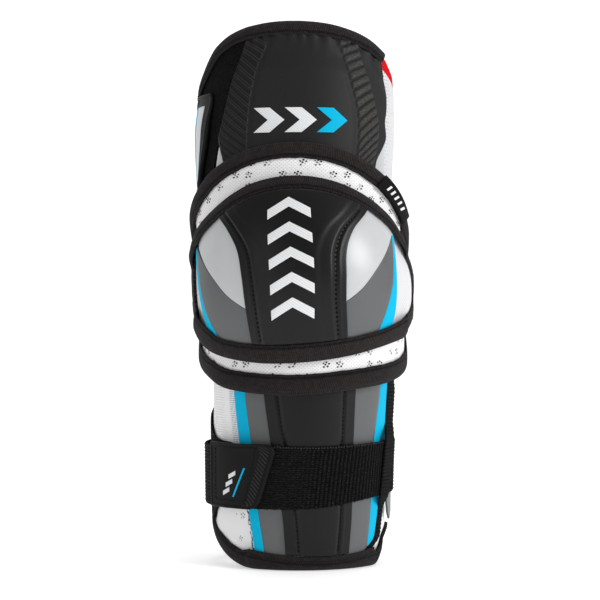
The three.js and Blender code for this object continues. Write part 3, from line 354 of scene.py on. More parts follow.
def pillow(name, at, inner, outer, count, radius, material, relief=None, mark=None, ribs=None, **use):
    """A closed wall whose faces meet in a rounded edge; relief and mark are given the edge distance too."""
    def both_faces(values):
        values = np.stack(np.broadcast_arrays(*values), -1)
        return np.concatenate([values.reshape(-1, 3), values[1:-1, 1:-1].reshape(-1, 3)])

    def offset_at(offset, bearing, z):
        return offset(bearing, z) if callable(offset) else np.full_like(bearing, offset, float)

    wide, tall = patch_size(at, WRAP_THICK)
    u, v = np.meshgrid(lines(count[0], wide, radius), lines(count[1], tall, radius), indexing="ij")
    bearing, z = np.broadcast_arrays(*at(u, v))
    low, high = offset_at(inner, bearing, z), offset_at(outer, bearing, z)
    middle = (low + high) / 2
    spine = arm(bearing, z, middle) / MM
    across, up = distance_along(spine, 0), distance_along(spine, 1)
    inside = np.minimum(np.minimum(across, across[-1:] - across), np.minimum(up, up[:, -1:] - up))
    rim = np.sqrt(1 - (1 - np.clip(inside / radius, 0, 1)) ** 2)
    raised = relief(bearing, z, inside) if relief else 0
    top = arm(bearing, z, middle + (high + raised - middle) * rim)
    under = arm(bearing, z, middle + (low - middle) * rim)
    third = mark(bearing, z, inside) if mark else inside
    fields = {"mm": both_faces((np.radians(bearing) * ARC_RADIUS, z, third))}
    if ribs:
        fields["rib"] = both_faces(ribs(bearing, z))
    top_ids = np.arange(top[..., 0].size).reshape(top.shape[:2])
    under_ids = top_ids.copy()
    shape = under_ids[1:-1, 1:-1].shape
    under_ids[1:-1, 1:-1] = top_ids.size + np.arange(shape[0] * shape[1]).reshape(shape)
    points = np.concatenate([top.reshape(-1, 3), under[1:-1, 1:-1].reshape(-1, 3)])
    faces = np.concatenate([cells(top_ids), cells(under_ids)[:, ::-1]])
    return make(name, points, outwards(points, faces).tolist(), fields, material, **use)


def rounded(corners, passes=2):
    """Cuts the corners of closed outlines, given as outline by corner by (past, out)."""
    for _ in range(passes):
        after = np.roll(corners, -1, axis=1)
        pair = np.stack([0.75 * corners + 0.25 * after, 0.25 * corners + 0.75 * after], 2)
        corners = pair.reshape(len(corners), -1, 2)
    return corners


def outline(bearing, leg, outer, rest):
    """Outlines of a tape along its run: the leg that shows, up to the fold, then the rest of the corners."""
    top = outer + TAPE_THICK
    corners = [(-leg, outer), (-leg, outer + 0.4 * TAPE_THICK), (-leg + 0.9, top - 0.15),
               (-leg * 0.5, top + 0.1), (-0.6, top)] + rest
    full = [[np.broadcast_to(value, bearing.shape) for value in corner] for corner in corners]
    return np.moveaxis(np.array(full, float), -1, 0)


def edge_outline(bearing, leg, outer):
    """A tape on the outer face that covers the cut edge."""
    return outline(bearing, leg, outer, [
        (TAPE_EDGE, outer - TAPE_THICK / 2), (TAPE_EDGE, 0), (GAP, 0), (GAP, outer)])


def rim_outline(bearing, leg, outer):
    """A tape folded over a rim, with a second leg on the inside."""
    under = -GAP - TAPE_THICK
    return outline(bearing, leg, outer, [
        (TAPE_EDGE, outer - TAPE_THICK), (TAPE_EDGE, TAPE_THICK), (-0.6, under), (-leg + 0.9, under),
        (-leg, -GAP), (GAP, -GAP), (GAP, outer)])


def tape(node, span, edge, side, profile, count, base=lambda b, z: 0.0):
    """A tape swept along an edge, with a soft outline and a slightly uneven lay."""
    bearing = np.linspace(*span, count + 1)
    corners = rounded(profile(bearing))
    past, out = corners[..., 0], corners[..., 1]
    along = np.radians(bearing)[:, None] * ARC_RADIUS
    sway = 0.1 * np.sin(0.55 * along + np.sin(0.21 * along)) + 0.05 * np.sin(1.3 * along + 0.7)
    laid = side * (past + sway * np.clip(-past / 4, 0, 1))
    turn, up, _ = edge_frame(bearing, edge)
    b = bearing[:, None] + laid * turn[:, None]
    z = edge(bearing)[:, None] + laid * up[:, None]
    points = arm(b, z, base(b, z) + out)
    middle = points.mean(axis=1, keepdims=True) / MM
    run = np.broadcast_to(distance_along(middle, 0), past.shape)
    mm = np.stack([run, past + out, past - past.min(axis=1, keepdims=True)], -1)
    ids = np.arange(past.size).reshape(past.shape)
    points = points.reshape(-1, 3)
    walls = cells(np.concatenate([ids, ids[:, :1]], axis=1))
    faces = outwards(points, walls)
    ends = [ids[0], ids[-1, ::-1]]
    if faces[0][1] != walls[0][1]:
        ends = [end[::-1] for end in ends]
    faces = faces.tolist() + [end.tolist() for end in ends]
    return make(node + "_look", points, faces, {"mm": mm}, TAPE, node)


def unit(vectors):
    return vectors / np.linalg.norm(vectors, axis=-1, keepdims=True)


class Threads:
    """Rows of stitches gathered into one mesh."""

    def __init__(self):
        self.points = []
        self.mm = []

    def row(self, bearing, z, offset, pitch=3.0, length=2.2, width=0.55):
        path = arm(bearing, z, offset)
        run = distance_along(path, 0) / MM
        middles = np.arange(pitch / 2, run[-1], pitch)

        def along(values, places):
            return np.stack([np.interp(places, run, values[:, k]) for k in range(3)], -1)

        forward = unit(along(path, middles + 0.4) - along(path, middles - 0.4))
        side = unit(np.cross(forward, along(arm(bearing, z, offset + 1) - path, middles)))
        out = np.cross(side, forward)
        turn = np.arange(STITCH_SIDES) * TAU / STITCH_SIDES
        ring = np.stack([np.cos(turn), np.sin(turn)], -1) * width / 2 * MM
        for place, f, s, o in zip(along(path, middles), forward, side, out):
            for reach, fat, lift in STITCH:
                centre = place + f * reach * length / 2 * MM + o * lift * width * MM
                self.points.append(centre + fat * (ring[:, :1] * s + ring[:, 1:] * o))
                self.mm.append(np.stack([0 * turn + reach * length / 2, turn, 0 * turn], -1))

    def build(self, name, material, slot):
        points, mm = np.concatenate(self.points), np.concatenate(self.mm)
        ids = np.arange(len(STITCH) * STITCH_SIDES).reshape(-1, STITCH_SIDES)
        walls = cells(np.concatenate([ids, ids[:, :1]], axis=1))[:, ::-1].tolist()
        stitch = walls + [ids[0, ::-1].tolist(), ids[-1].tolist()]
        faces = [[first + k for k in face] for first in range(0, len(points), ids.size) for face in stitch]
        return make(name, points, faces, {"mm": mm}, material, slot=slot)


# Materials
def srgb(*levels):
    values = [level / 255 for level in levels]
    return tuple(v / 12.92 if v <= 0.04045 else ((v + 0.055) / 1.055) ** 2.4 for v in values)


def toned(level, share):
    return tuple(share * channel for channel in level)


def put(tree, socket, value):
    """Links a signal or a colour to a socket, or sets the socket to a constant."""
    if isinstance(value, Signal):
        value = value.socket
    if isinstance(value, bpy.types.NodeSocket):
        tree.links.new(value, socket)
    else:
        socket.default_value = value


class Signal:
    """A number in a material's node tree: arithmetic with it adds math nodes to the tree."""

    def __init__(self, tree, socket):
        self.tree = tree
        self.socket = socket

    def math(self, operation, other=0.0, swapped=False):
        node = self.tree.nodes.new("ShaderNodeMath")
        node.operation = operation
        for socket, value in zip(node.inputs, (other, self) if swapped else (self, other)):
            put(self.tree, socket, value)
        return Signal(self.tree, node.outputs[0])

    def __add__(self, other):
        return self.math("ADD", other)

    def __sub__(self, other):
        return self.math("SUBTRACT", other)

    def __rsub__(self, other):
        return self.math("SUBTRACT", other, True)

    def __mul__(self, other):
        return self.math("MULTIPLY", other)

    def __mod__(self, other):
        return self.math("MODULO", other)

    def wave(self, pitch):
        return (self * (TAU / pitch)).math("SINE")

    def step(self, low, high):
        node = self.tree.nodes.new("ShaderNodeMapRange")
        node.interpolation_type = "SMOOTHSTEP"
        put(self.tree, node.inputs["Value"], self)
        node.inputs["From Min"].default_value = low
        node.inputs["From Max"].default_value = high
        return Signal(self.tree, node.outputs["Result"])

    def below(self, low, high):
        return 1.0 - self.step(low, high)

    def within(self, low, high, soft):
        return self.step(low, low + soft) * self.below(high - soft, high)


class Paint:
    """A material, with short ways to add nodes that read the mm attribute."""

    def __init__(self, name, level, rough, **sockets):
        self.material = bpy.data.materials.new(name)
        self.material.use_nodes = True
        self.tree = self.material.node_tree
        self.shader = self.tree.nodes["Principled BSDF"]
        self.shader.inputs["Base Color"].default_value = (*level, 1)
        self.shader.inputs["Roughness"].default_value = rough
        for socket, value in sockets.items():
            self.shader.inputs[socket.replace("_", " ")].default_value = value
        self.place, self.mm = self.field("mm")
        self.normal = None

    def field(self, name):
        """A vector attribute, and its three numbers as signals."""
        attribute = self.tree.nodes.new("ShaderNodeAttribute")
        attribute.attribute_name = name
        parts = self.tree.nodes.new("ShaderNodeSeparateXYZ")
        self.tree.links.new(attribute.outputs["Vector"], parts.inputs[0])
        return attribute.outputs["Vector"], [Signal(self.tree, part) for part in parts.outputs]

    def texture(self, kind, size):
        node = self.tree.nodes.new(kind)
        self.tree.links.new(self.place, node.inputs["Vector"])
        node.inputs["Scale"].default_value = 1 / size
        return node

    def noise(self, size, detail=2.0):
        node = self.texture("ShaderNodeTexNoise", size)
        node.inputs["Detail"].default_value = detail
        return Signal(self.tree, node.outputs[0])

    def pebbles(self, size):
        return Signal(self.tree, self.texture("ShaderNodeTexVoronoi", size).outputs["Distance"])

    def mix(self, factor, a, b):
        node = self.tree.nodes.new("ShaderNodeMix")
        node.data_type = "RGBA"
        put(self.tree, node.inputs[0], factor)
        for socket, shade in ((node.inputs[6], a), (node.inputs[7], b)):
            put(self.tree, socket, (*shade, 1) if isinstance(shade, tuple) else shade)
        return node.outputs[2]

    def coloured(self, shade):
        """Links the base colour and hands back the material."""
        self.shade = shade
        put(self.tree, self.shader.inputs["Base Color"], shade)
        return self.material

    def rough(self, signal):
        put(self.tree, self.shader.inputs["Roughness"], signal)

    def bump(self, height, deep):
        node = self.tree.nodes.new("ShaderNodeBump")
        node.inputs["Distance"].default_value = deep * MM
        put(self.tree, node.inputs["Height"], height)
        if self.normal:
            self.tree.links.new(self.normal, node.inputs["Normal"])
        self.normal = node.outputs[0]
        put(self.tree, self.shader.inputs["Normal"], self.normal)


def dots(paint, places, x, y):
    """Least distance from a place in the pattern's cell to any of its dots."""
    here = paint.tree.nodes.new("ShaderNodeCombineXYZ")
    put(paint.tree, here.inputs[0], x)
    put(paint.tree, here.inputs[1], y)
    nearest = 99.0
    for place in places:
        node = paint.tree.nodes.new("ShaderNodeVectorMath")
        node.operation = "DISTANCE"
        put(paint.tree, node.inputs[0], here.outputs[0])
        node.inputs[1].default_value = (*place, 0)
        nearest = Signal(paint.tree, node.outputs["Value"]).math("MINIMUM", nearest)
    return nearest


def hole_clusters(paint):
    """Pairs of small hole clusters, in rows that are set off by half a repeat."""
    x, y, _ = paint.mm
    row = (y * (1 / CLUSTER_ROW)).math("FLOOR")
    shift = (row + 100) % 2 * (CLUSTER_REPEAT / 2) + (row + 99) % 3 * 2.6
    cell_x = (x + shift + 100 * CLUSTER_REPEAT) % CLUSTER_REPEAT
    flower = [(-1.5, 0.9), (0.1, 1.5), (1.5, 0.6), (-0.4, 0.1), (0.8, -1.0), (-1.2, -1.3)]
    places = [(cx + dx, CLUSTER_ROW / 2 + dy) for cx in (5.0, 12.4) for dx, dy in flower]
    kept = paint.noise(1.7).step(0.41, 0.46)
    return dots(paint, places, cell_x, y % CLUSTER_ROW).below(0.42, 0.68) * kept


def white_mesh(name, level, clustered):
    """White spacer mesh: a fine diagonal knit, with clusters of small holes where they show."""
    paint = Paint(name, level, 0.82, Sheen_Weight=0.12)
    x, y, inside = paint.mm
    knit = x.wave(2.0) * y.wave(2.0)
    shade = paint.mix(knit.step(-1, 0.3), toned(level, 0.76), level)
    paint.bump(knit, 0.09)
    if clustered:
        hole = hole_clusters(paint) * inside.step(2.0, 2.5)
        shade = paint.mix(hole, shade, (0.006, 0.006, 0.007))
        paint.bump(hole * -1.0, 0.4)
    return paint.coloured(shade)


def wall_mesh():
    """White wall of the upper arm: fine perforations beside the guard and a red tag at the rim."""
    level = srgb(212, 212, 214)
    wide, tall = 3.0, 2.2
    paint = Paint("wall_mesh", level, 0.82, Specular_IOR_Level=0.08)
    x, y, inside = paint.mm
    knit = x.wave(1.3) * y.wave(1.3)
    paint.bump(knit, 0.08)
    shade = paint.mix(knit.step(-1, 0.5), toned(level, 0.9), level)
    row = (y * (1 / tall)).math("FLOOR")
    cell_x = (x + (row + 200) % 2 * (wide / 2) + 100 * wide) % wide
    hole = dots(paint, [(wide / 2, tall / 2)], cell_x, y % tall).below(0.3, 0.6) * inside.step(1.5, 1.9)
    shade = paint.mix(hole * x.below(60, 72) * 0.8, shade, (0.05, 0.05, 0.055))
    paint.bump(hole * -1.0, 0.3)
    tag = (y + x * 0.45).step(329.5, 330.1) * x.within(52, 84, 0.5)
    weave = (x + y).wave(1.1)
    red = paint.mix(weave.step(-1, 1), srgb(178, 0, 10), srgb(216, 1, 18))
    return paint.coloured(paint.mix(tag, shade, red))


def forearm_knit():
    """White knit: fine cross ribs at the side, a strip of diamond holes and a ragged seam by the blue."""
    level = srgb(238, 238, 239)
    paint = Paint("forearm_knit", level, 0.85, Sheen_Weight=0.12)
    x, y, from_blue = paint.mm
    upper = y.step(36, 40)
    height = y.wave(1.5) * (from_blue.below(-16, -10) * upper) + x.wave(0.9) * 0.3
    paint.bump(height, 0.1)
    shade = paint.mix(height.step(-1.3, 0.4), toned(level, 0.86), level)
    diamond = (from_blue + y).wave(2.6) * (from_blue - y).wave(2.6)
    hole = diamond.step(0.2, 0.55) * (from_blue.within(-7.4, -0.5, 0.6) * upper)
    shade = paint.mix(hole, shade, srgb(112, 132, 168))
    clusters = hole_clusters(paint) * from_blue.within(-13, -4, 1.0)
    shade = paint.mix(clusters * ((1.0 - upper) * 0.8 + 0.06), shade, (0.03, 0.03, 0.033))
    ragged = from_blue + paint.noise(2.2, 3.0) * 2.6
    seam = ragged.within(-1.5, 0.1, 0.4) * paint.noise(3.5).step(0.42, 0.52) * (1.0 - upper)
    shade = paint.mix(seam, shade, (0.02, 0.02, 0.022))
    paint.bump((hole + seam) * -1.0, 0.3)
    return paint.coloured(shade)


def woven_tape(name, seam):
    """Black binding tape: fine ribs across it, and a sunk seam along its inner edge, darkened with painted
    shade.
    """
    paint = Paint(name, srgb(28, 24, 24), 0.85, Specular_IOR_Level=0.12, Sheen_Weight=0.03)
    x, y, from_leg = paint.mm
    weave = (x + y * 0.35).wave(1.05) + y.wave(0.8) * 0.4
    paint.bump(weave, 0.16)
    paint.bump(paint.noise(0.35), 0.12)
    worn = paint.noise(2.4, 3.0).step(0.35, 0.7)
    shade = paint.mix(weave.step(-1.2, 1.2), srgb(15, 13, 13), srgb(44, 38, 39))
    shade = paint.mix(worn * 0.3, shade, srgb(56, 50, 50))
    if seam:
        # The seam band is bumped in and also darkened with painted shade of the sunk stitch line.
        seam_groove_and_shade = from_leg.within(1.2, 3.0, 0.6)
        shade = paint.mix(seam_groove_and_shade * 0.7, shade, srgb(9, 8, 8))
        paint.bump(seam_groove_and_shade, -0.35)
    return paint.coloured(shade)


def moulded(name, level, rough, grain, shine):
    """Matte black moulded skin with a leather-like grain."""
    paint = Paint(name, level, rough, Specular_IOR_Level=shine)
    fine = paint.noise(grain, 3.0)
    paint.bump(paint.pebbles(grain), 0.03)
    paint.bump(paint.noise(0.25), 0.02)
    paint.coloured(paint.mix(fine, toned(level, 0.8), toned(level, 1.25)))
    paint.rough(fine * 0.16 + (rough - 0.08))
    return paint


def guard_skin():
    """Moulded guard: on the left, ribs with a painted highlight on their rims and painted shade in their
    hollows; on the right, bars with paler speckled tops and painted shadow in the grooves between them.
    """
    paint = moulded("guard_mould", srgb(25, 25, 25), 0.55, 1.1, 0.22)
    _, (out, number, side) = paint.field("rib")
    off = ((number + 20.5).math("FRACT") - 0.5).math("ABSOLUTE") * RIB_PITCH
    left, right = (side * -1.0).step(0.3, 0.7), side.step(0.3, 0.7)
    bar = off.within(-1.0, 2.05, 0.25) * out.within(0.0, 1.0, 0.03)
    hollow = off.below(1.35, 1.65) * out.within(0.025, 0.97, 0.02)
    # Painted highlight: the whole left rib is lightened as if its rim catches the light from the right.
    shade = paint.mix(left * bar, paint.shade, srgb(50, 50, 49))
    # Painted shade: the hollow inside each left rib is darkened, so only the lit rim stays light.
    shade = paint.mix(left * hollow, shade, srgb(19, 19, 19))
    across = right * out.within(0.02, 0.98, 0.08)
    speckle = paint.noise(0.5, 3.0).step(0.42, 0.66)
    shade = paint.mix(across * off.below(1.2, 1.9) * speckle, shade, srgb(74, 72, 69))
    # Painted shadow: the grooves between the right bars are darkened.
    return paint.coloured(paint.mix(across * off.step(2.0, 2.35), shade, srgb(12, 12, 12)))


def film(name, level, rough, coat, shine):
    """Satin film: even colour with a very fine orange-peel surface."""
    paint = Paint(name, level, rough, Coat_Weight=coat, Coat_Roughness=0.25, Specular_IOR_Level=shine)
    cloud = paint.noise(9.0, 3.0)
    paint.bump(paint.noise(0.8), 0.012)
    paint.rough(cloud * 0.1 + (rough - 0.05))
    return paint.coloured(paint.mix(cloud, toned(level, 0.95), toned(level, 1.04)))


def pile():
    """Brushed loop pile: dark, fuzzy and uneven."""
    paint = Paint("loop_pile_fuzz", srgb(8, 7, 8), 0.95, Specular_IOR_Level=0.06)
    fuzz = paint.noise(0.6, 4.0)
    paint.bump(fuzz, 0.5)
    paint.bump(paint.pebbles(0.9), 0.25)
    return paint.coloured(paint.mix(fuzz.step(0.35, 0.7), srgb(2, 2, 2), srgb(34, 31, 34)))


def knit_strap():
    """Loop strap: fuzzy pile that gathers into leaning wales on the right, with a light selvage on top."""
    paint = Paint("strap_knit", srgb(10, 10, 10), 0.95, Specular_IOR_Level=0.1, Sheen_Weight=0.02)
    x, y, from_top = paint.mm
    wale = (x - y * WALE_LEAN).wave(WALE) * x.step(WALES_FROM, WALES_FULL)
    loops = (y + paint.noise(2.0) * 2.5).wave(1.3)
    loop = (loops + 1.0) * (wale + 1.0)
    paint.bump(loop, 0.12)
    paint.bump(paint.noise(0.5, 3.0), 0.3)
    shade = paint.mix(loop.step(0.2, 3.0), srgb(3, 3, 3), srgb(24, 23, 23))
    speck = paint.noise(0.42).step(0.56, 0.7) * loop.step(0.3, 1.8)
    shade = paint.mix(speck * 0.8, shade, srgb(74, 72, 71))
    dash = from_top.within(0.2, 1.2, 0.3) * x.wave(1.7).step(-0.3, 0.3)
    return paint.coloured(paint.mix(dash * 0.4, shade, srgb(88, 86, 84)))


def elastic():
    """Woven elastic: ribs along the strap, crossed by fine threads."""
    paint = Paint("ribbed_elastic", srgb(12, 12, 12), 0.85, Specular_IOR_Level=0.1)
    x, y, _ = paint.mm
    height = y.wave(ELASTIC_RIB) + x.wave(1.0) * 0.4
    paint.bump(height, 0.2)
    paint.bump(paint.noise(0.4), 0.1)
    return paint.coloured(paint.mix(height.step(-1.2, 1.2), srgb(2, 2, 2), srgb(23, 23, 23)))


def rubber():
    """Moulded rubber with a fine matte grain, paler on the tops of grip ridges."""
    paint = Paint("tab_rubber", srgb(16, 16, 16), 0.55, Specular_IOR_Level=0.12)
    grain = paint.noise(0.3)
    paint.bump(grain, 0.03)
    plain = paint.mix(grain, srgb(12, 12, 12), srgb(22, 22, 22))
    return paint.coloured(paint.mix(paint.mm[2].step(0.45, 0.9), plain, srgb(50, 50, 49)))


def hatched_print():
    """White printed mark with fine slanted lines."""
    level = srgb(226, 227, 229)
    paint = Paint("white_print", level, 0.45)
    x, y, _ = paint.mm
    hatch = (x + y).wave(1.6).step(0.2, 0.7)
    paint.bump(hatch, 0.03)
    return paint.coloured(paint.mix(hatch, level, toned(level, 0.82)))


def thread():
    """Black twisted sewing thread."""
    paint = Paint("black_thread", srgb(22, 20, 20), 0.7, Specular_IOR_Level=0.2)
    x, y, _ = paint.mm
    twist = (x + y).wave(0.7)
    paint.bump(twist, 0.08)
    return paint.coloured(paint.mix(twist.step(-1, 1), srgb(4, 4, 4), srgb(15, 14, 14)))


MESH = white_mesh("sleeve_mesh", srgb(244, 244, 244), True)
PLAIN_MESH = white_mesh("cap_mesh", srgb(217, 217, 219), False)
WALL_MESH = wall_mesh()
KNIT = forearm_knit()
TAPE = woven_tape("woven_tape", True)
PLAIN_TAPE = woven_tape("plain_tape", False)
MOULD = guard_skin()
PLATE = moulded("plate_mould", srgb(3, 3, 3), 0.4, 0.9, 0.27).material
LABEL = moulded("label_satin", srgb(8, 7, 7), 0.7, 0.6, 0.1).material
LIGHT = film("light_grey_skin", srgb(190, 192, 193), 0.32, 0.12, 0.3)
DARK = film("dark_grey_skin", srgb(92, 93, 94), 0.4, 0.08, 0.28)
BLUE = film("blue_skin", srgb(0, 176, 216), 0.55, 0.0, 0.08)
PILE = pile()
KNIT_STRAP = knit_strap()
ELASTIC = elastic()
RUBBER = rubber()
PRINT = hatched_print()
THREAD = thread()


# Patches shared by several pieces
def lens(start, end, bottom, top):
    def at(u, v):
        bearing = lerp(start, end, u)
        return bearing, lerp(bottom(bearing), top(bearing), v)
    return at


def flat(value):
    return lambda bearing: np.full_like(np.asarray(bearing, float), value)


def patch(bottom, top, left, right):
    """A patch that fills four given edge lines."""
    def at(u, v):
        def part(k):
            across = lerp(left(v)[k], right(v)[k], u) + lerp(bottom(u)[k], top(u)[k], v)
            low = lerp(bottom(0.0)[k], bottom(1.0)[k], u)
            high = lerp(top(0.0)[k], top(1.0)[k], u)
            return across - lerp(low, high, v)
        return part(0), part(1)
    return at


def between(a, b):
    return lambda t: (lerp(a[0], b[0], t), lerp(a[1], b[1], t))


def wrap_patch(low, high, seam_at_foot):
    def at(u, v):
        whole = lerp(-WRAP_SPAN, WRAP_SPAN, u)
        up = v**SEAM_EASE if seam_at_foot else 1 - (1 - v) ** SEAM_EASE
        z = lerp(low(whole), high(whole), up)
        return whole / WRAP_SPAN * wrap_span(z), z
    return at


def wrap_out(bearing, z):
    return WRAP_THICK + 0.15 * waviness(bearing, z)


def on_sleeve(offset):
    return lambda bearing, z: sleeve_in(bearing, z) + offset


def on_cap(offset):
    return lambda bearing, z: cap_in(bearing, z) + offset


def ribbed(height, pitch):
    """Relief of ribs that run along a strap."""
    return lambda bearing, z, inside: height * np.sin(z * TAU / pitch)


def dress(node, *shape, **more):
    """A pillow that stands for a node of the part."""
    return pillow(node + "_look", *shape, node=node, **more)


threads = Threads()


# Upper arm
def upper_tape_out(bearing):
    side = lerp(PANEL_IN, LOOP_OUT + 2 * GAP, smooth(bearing, -125, -114.5))
    return lerp(side, GUARD_IN + GUARD_LIP + GAP, smooth(bearing, -38, -32))


def guard_side(column):
    high = upper_wall(read(GUARD, column, PAD_HEIGHT)) - GAP

    def side(v):
        return read(GUARD, column, lerp(GUARD_FOOT, PAD_HEIGHT, v)), lerp(GUARD_FOOT, high, v)
    return side


def guard_top(u):
    bearing = lerp(GUARD["left"][-1], GUARD["right"][-1], u)
    return bearing, upper_wall(bearing) - GAP


def guard_base(bearing, z):
    rim = upper_rim(bearing)
    return GUARD_IN + lerp(GUARD_THICK, GUARD_LIP, smooth(z, rim - 30, rim - 18))


def rib_place(side, bearing, z):
    """Share of the way out across a rib band, the rib's number counted down, and where ribs are used."""
    inner, outer = read(RIB_BANDS, side + "_in", z), read(RIB_BANDS, side + "_out", z)
    out = (bearing - inner) / (outer - inner)
    top, foot, ease = (8, 14.5, 1) if side == "left" else (4.8, 15, 2)
    climb = lerp(top, foot, np.clip((RIB_TOP - z) / 58, 0, 1) ** ease)
    number = (RIB_TOP - z - climb * (1 - out)) / RIB_PITCH
    return out, number, smooth(number, -2.9, -2.6) * (1 - smooth(number, 14.6, 14.9))


def within(x, low, high, soft):
    return smooth(x, low, low + soft) * (1 - smooth(x, high - soft, high))


def guard_ribs(bearing, z):
    """Rib share, rib number and side for the guard's material: -1 in the left band, 1 in the right one."""
    left_out, left_number, left_used = rib_place("left", bearing, z)
    right_out, right_number, right_used = rib_place("right", bearing, z)
    left = bearing < 3
    side = np.where(left, -left_used, right_used)
    return np.where(left, left_out, right_out), np.where(left, left_number, right_number), side


def rib_relief(bearing, z):
    """Height of the ribs: outlined and hollow on the left, solid and round on the right."""
    out, number, side = guard_ribs(bearing, z)
    off = np.abs(number - np.round(number)) * RIB_PITCH
    bar = (1 - smooth(off, 1.8, 2.2)) * within(out, 0, 1, 0.04)
    hollow = (1 - smooth(off, 1.2, 1.6)) * within(out, 0.06, 0.95, 0.04)
    solid = np.sqrt(np.clip(1 - (off / 2.1) ** 2, 0, 1)) * within(out, 0, 1, 0.1)
    return np.abs(side) * np.where(side < 0, 0.7 * bar - 0.6 * hollow, solid)


def guard_relief(bearing, z, inside):
    from_left = bearing - read(RIB_BANDS, "left_in", z)
    from_right = read(RIB_BANDS, "right_in", z) - bearing
    centre = 0.45 * smooth(np.minimum(from_left, from_right), 0.5, 4)
    below = np.clip(upper_rim(bearing) - UPPER_TAPE - TAPE_EDGE - z, 0, None)
    pucker = 0.5 * np.exp(-below / 4) * np.sin(bearing * 0.9 + np.sin(bearing * 0.23))
    return rib_relief(bearing, z) + centre + pucker


def guard_face(bearing, z):
    return guard_base(bearing, z) + guard_relief(bearing, z, 0)


def guard_chevron(number, material, tall=15, reach=8, wide=9):
    """A printed chevron on the guard that points right."""
    def at(u, v):
        return -24.5 + 17 * number + reach * (1 - np.abs(2 * v - 1)) + wide * u, 260 + tall * v
    pillow(f"guard_chevron_{number}", at, guard_face, lambda b, z: guard_face(b, z) + 0.5, (8, 24), 0.4,
           material, slot="black_mould")


def bare_rim(bearing):
    """Upper edge of the wall, a little higher on the right, where the binding has ended."""
    return upper_wall(bearing) + BARE_RIM_RISE * within(bearing, 57, 112, 11)


def underlay_patch(u, v):
    z = lerp(UNDERLAY_LOW, UNDERLAY_HIGH, v)
    return lerp(read(LOOP_FRONT, "edge", z) + 2 * GAP, UNDERLAY_END, u), z


def loop_patch(u, v):
    front = LOOP_FRONT["edge"][0] + 0 * v
    for _ in range(PASSES):
        z = lerp(LOOP_FOOT, upper_wall(front) - GAP, v)
        front = read(LOOP_FRONT, "edge", z) + 3 * smooth(z, 263, 272)
    bearing = lerp(LOOP_BACK, front, u)
    return bearing, lerp(LOOP_FOOT, upper_wall(bearing) - GAP, v)


def pile_tufts(bearing, z, inside):
    across = np.sin(bearing * 9.1 + 3 * np.sin(z * 2.3))
    return 0.25 * across * np.sin(z * 7.7 + 2 * np.sin(bearing * 1.9))


def upper_strap_in(bearing, z):
    return lerp(PANEL_IN, LOOP_OUT + GAP, smooth(bearing, 225, 240))


def upper_tab_patch(u, v):
    z = lerp(UPPER_TAB_LOW, UPPER_TAB_HIGH, v)
    bearing = lerp(UPPER_TAB_BACK, read(UPPER_TAB_FRONT, "edge", z), u)
    leg = (UPPER_TAPE + 2 * GAP) * edge_frame(bearing, upper_wall)[2]
    return bearing, np.minimum(z, lerp(UPPER_TAB_LOW, upper_wall(bearing) - leg, v))


def upper_tab_out(bearing, z):
    return LOOP_OUT + GAP + UPPER_TAB_THICK - 1.7 * smooth(z, 262, UPPER_TAB_HIGH)


def upper_tab_mark(name, start, end, rise, material, slot):
    """A coloured field let into the upper tab."""
    def floor(bearing, z):
        return upper_tab_out(bearing, z) - 0.95
    pillow(f"upper_tab_{name}", lambda u, v: upper_tab_patch(lerp(start, end, u), lerp(0.14, 0.88, v)),
           floor, lambda b, z: floor(b, z) + rise, (14, 40), 0.3, material, slot=slot)


def upper_arm():
    body = dress("upper_arm_wrap", wrap_patch(flat(SEAM_Z + GAP / 2), bare_rim, True), 0, wrap_out,
                 (150, 64), 1.6, WALL_MESH)
    tape("upper_arm_binding", (-WRAP_SPAN, 57.8), upper_wall, 1,
         lambda b: rim_outline(b, UPPER_TAPE, upper_tape_out(b)), 220)
    bearing = np.linspace(-160, 57, 600)
    threads.row(*beside(bearing, upper_wall, 1, -5.4), upper_tape_out(bearing) + STITCH_RISE)
    dress("bicep_underlay", underlay_patch, PANEL_IN, PANEL_IN + UNDERLAY_THICK, (34, 26), 0.5, LIGHT)
    foot = between((-GUARD_FOOT_HALF, GUARD_FOOT), (GUARD_FOOT_HALF, GUARD_FOOT))
    dress("bicep_guard", patch(foot, guard_top, guard_side("left"), guard_side("right")), GUARD_IN,
          guard_base, (166, 190), 1.3, MOULD, guard_relief, ribs=guard_ribs)
    dress("bicep_loop_panel", loop_patch, PANEL_IN, LOOP_OUT, (40, 50), 0.7, PILE, pile_tufts)
    strap = lens(UPPER_STRAP_FROM, 360 + UPPER_TAB_BACK - GAP, flat(UPPER_STRAP_LOW), flat(UPPER_STRAP_HIGH))
    dress("upper_strap", strap, upper_strap_in, lambda b, z: upper_strap_in(b, z) + STRAP_THICK, (90, 60),
          0.7, ELASTIC, ribbed(0.18, ELASTIC_RIB))
    dress("upper_strap_tab", upper_tab_patch, LOOP_OUT + GAP, upper_tab_out, (40, 70), 1.3, RUBBER,
          lambda b, z, inside: -0.9 * smooth(inside, 2.6, 3.6), lambda b, z, inside: 0 * b)
    upper_tab_mark("field", 0.1, 0.76, 0.3, LIGHT, "light_grey_film")
    upper_tab_mark("stripe", 0.3, 0.44, 0.5, BLUE, "blue_film")


# Elbow sleeve and cap
def sleeve_tape(node, edge, side, leg):
    def shown(bearing):
        return np.minimum(leg, TIP_SHARE * (sleeve_top(bearing) - sleeve_bottom(bearing)))
    tape(node, (-SLEEVE_TIP, SLEEVE_TIP), edge, side,
         lambda b: edge_outline(b, shown(b), SLEEVE_TAPE_IN), 220, sleeve_in)
    bearing = np.linspace(-64, 64, 500)
    b, z = beside(bearing, edge, side, 2.1 - shown(bearing))
    threads.row(b, z, sleeve_in(b, z) + SLEEVE_TAPE_IN + STITCH_RISE)


def cap_tape_out(bearing):
    side = smooth(np.abs(bearing - CAP_TURN), 63, 70)
    return lerp(CAP_PLATE_IN + GAP / 2, CAP_THICK + 2 * GAP, side)


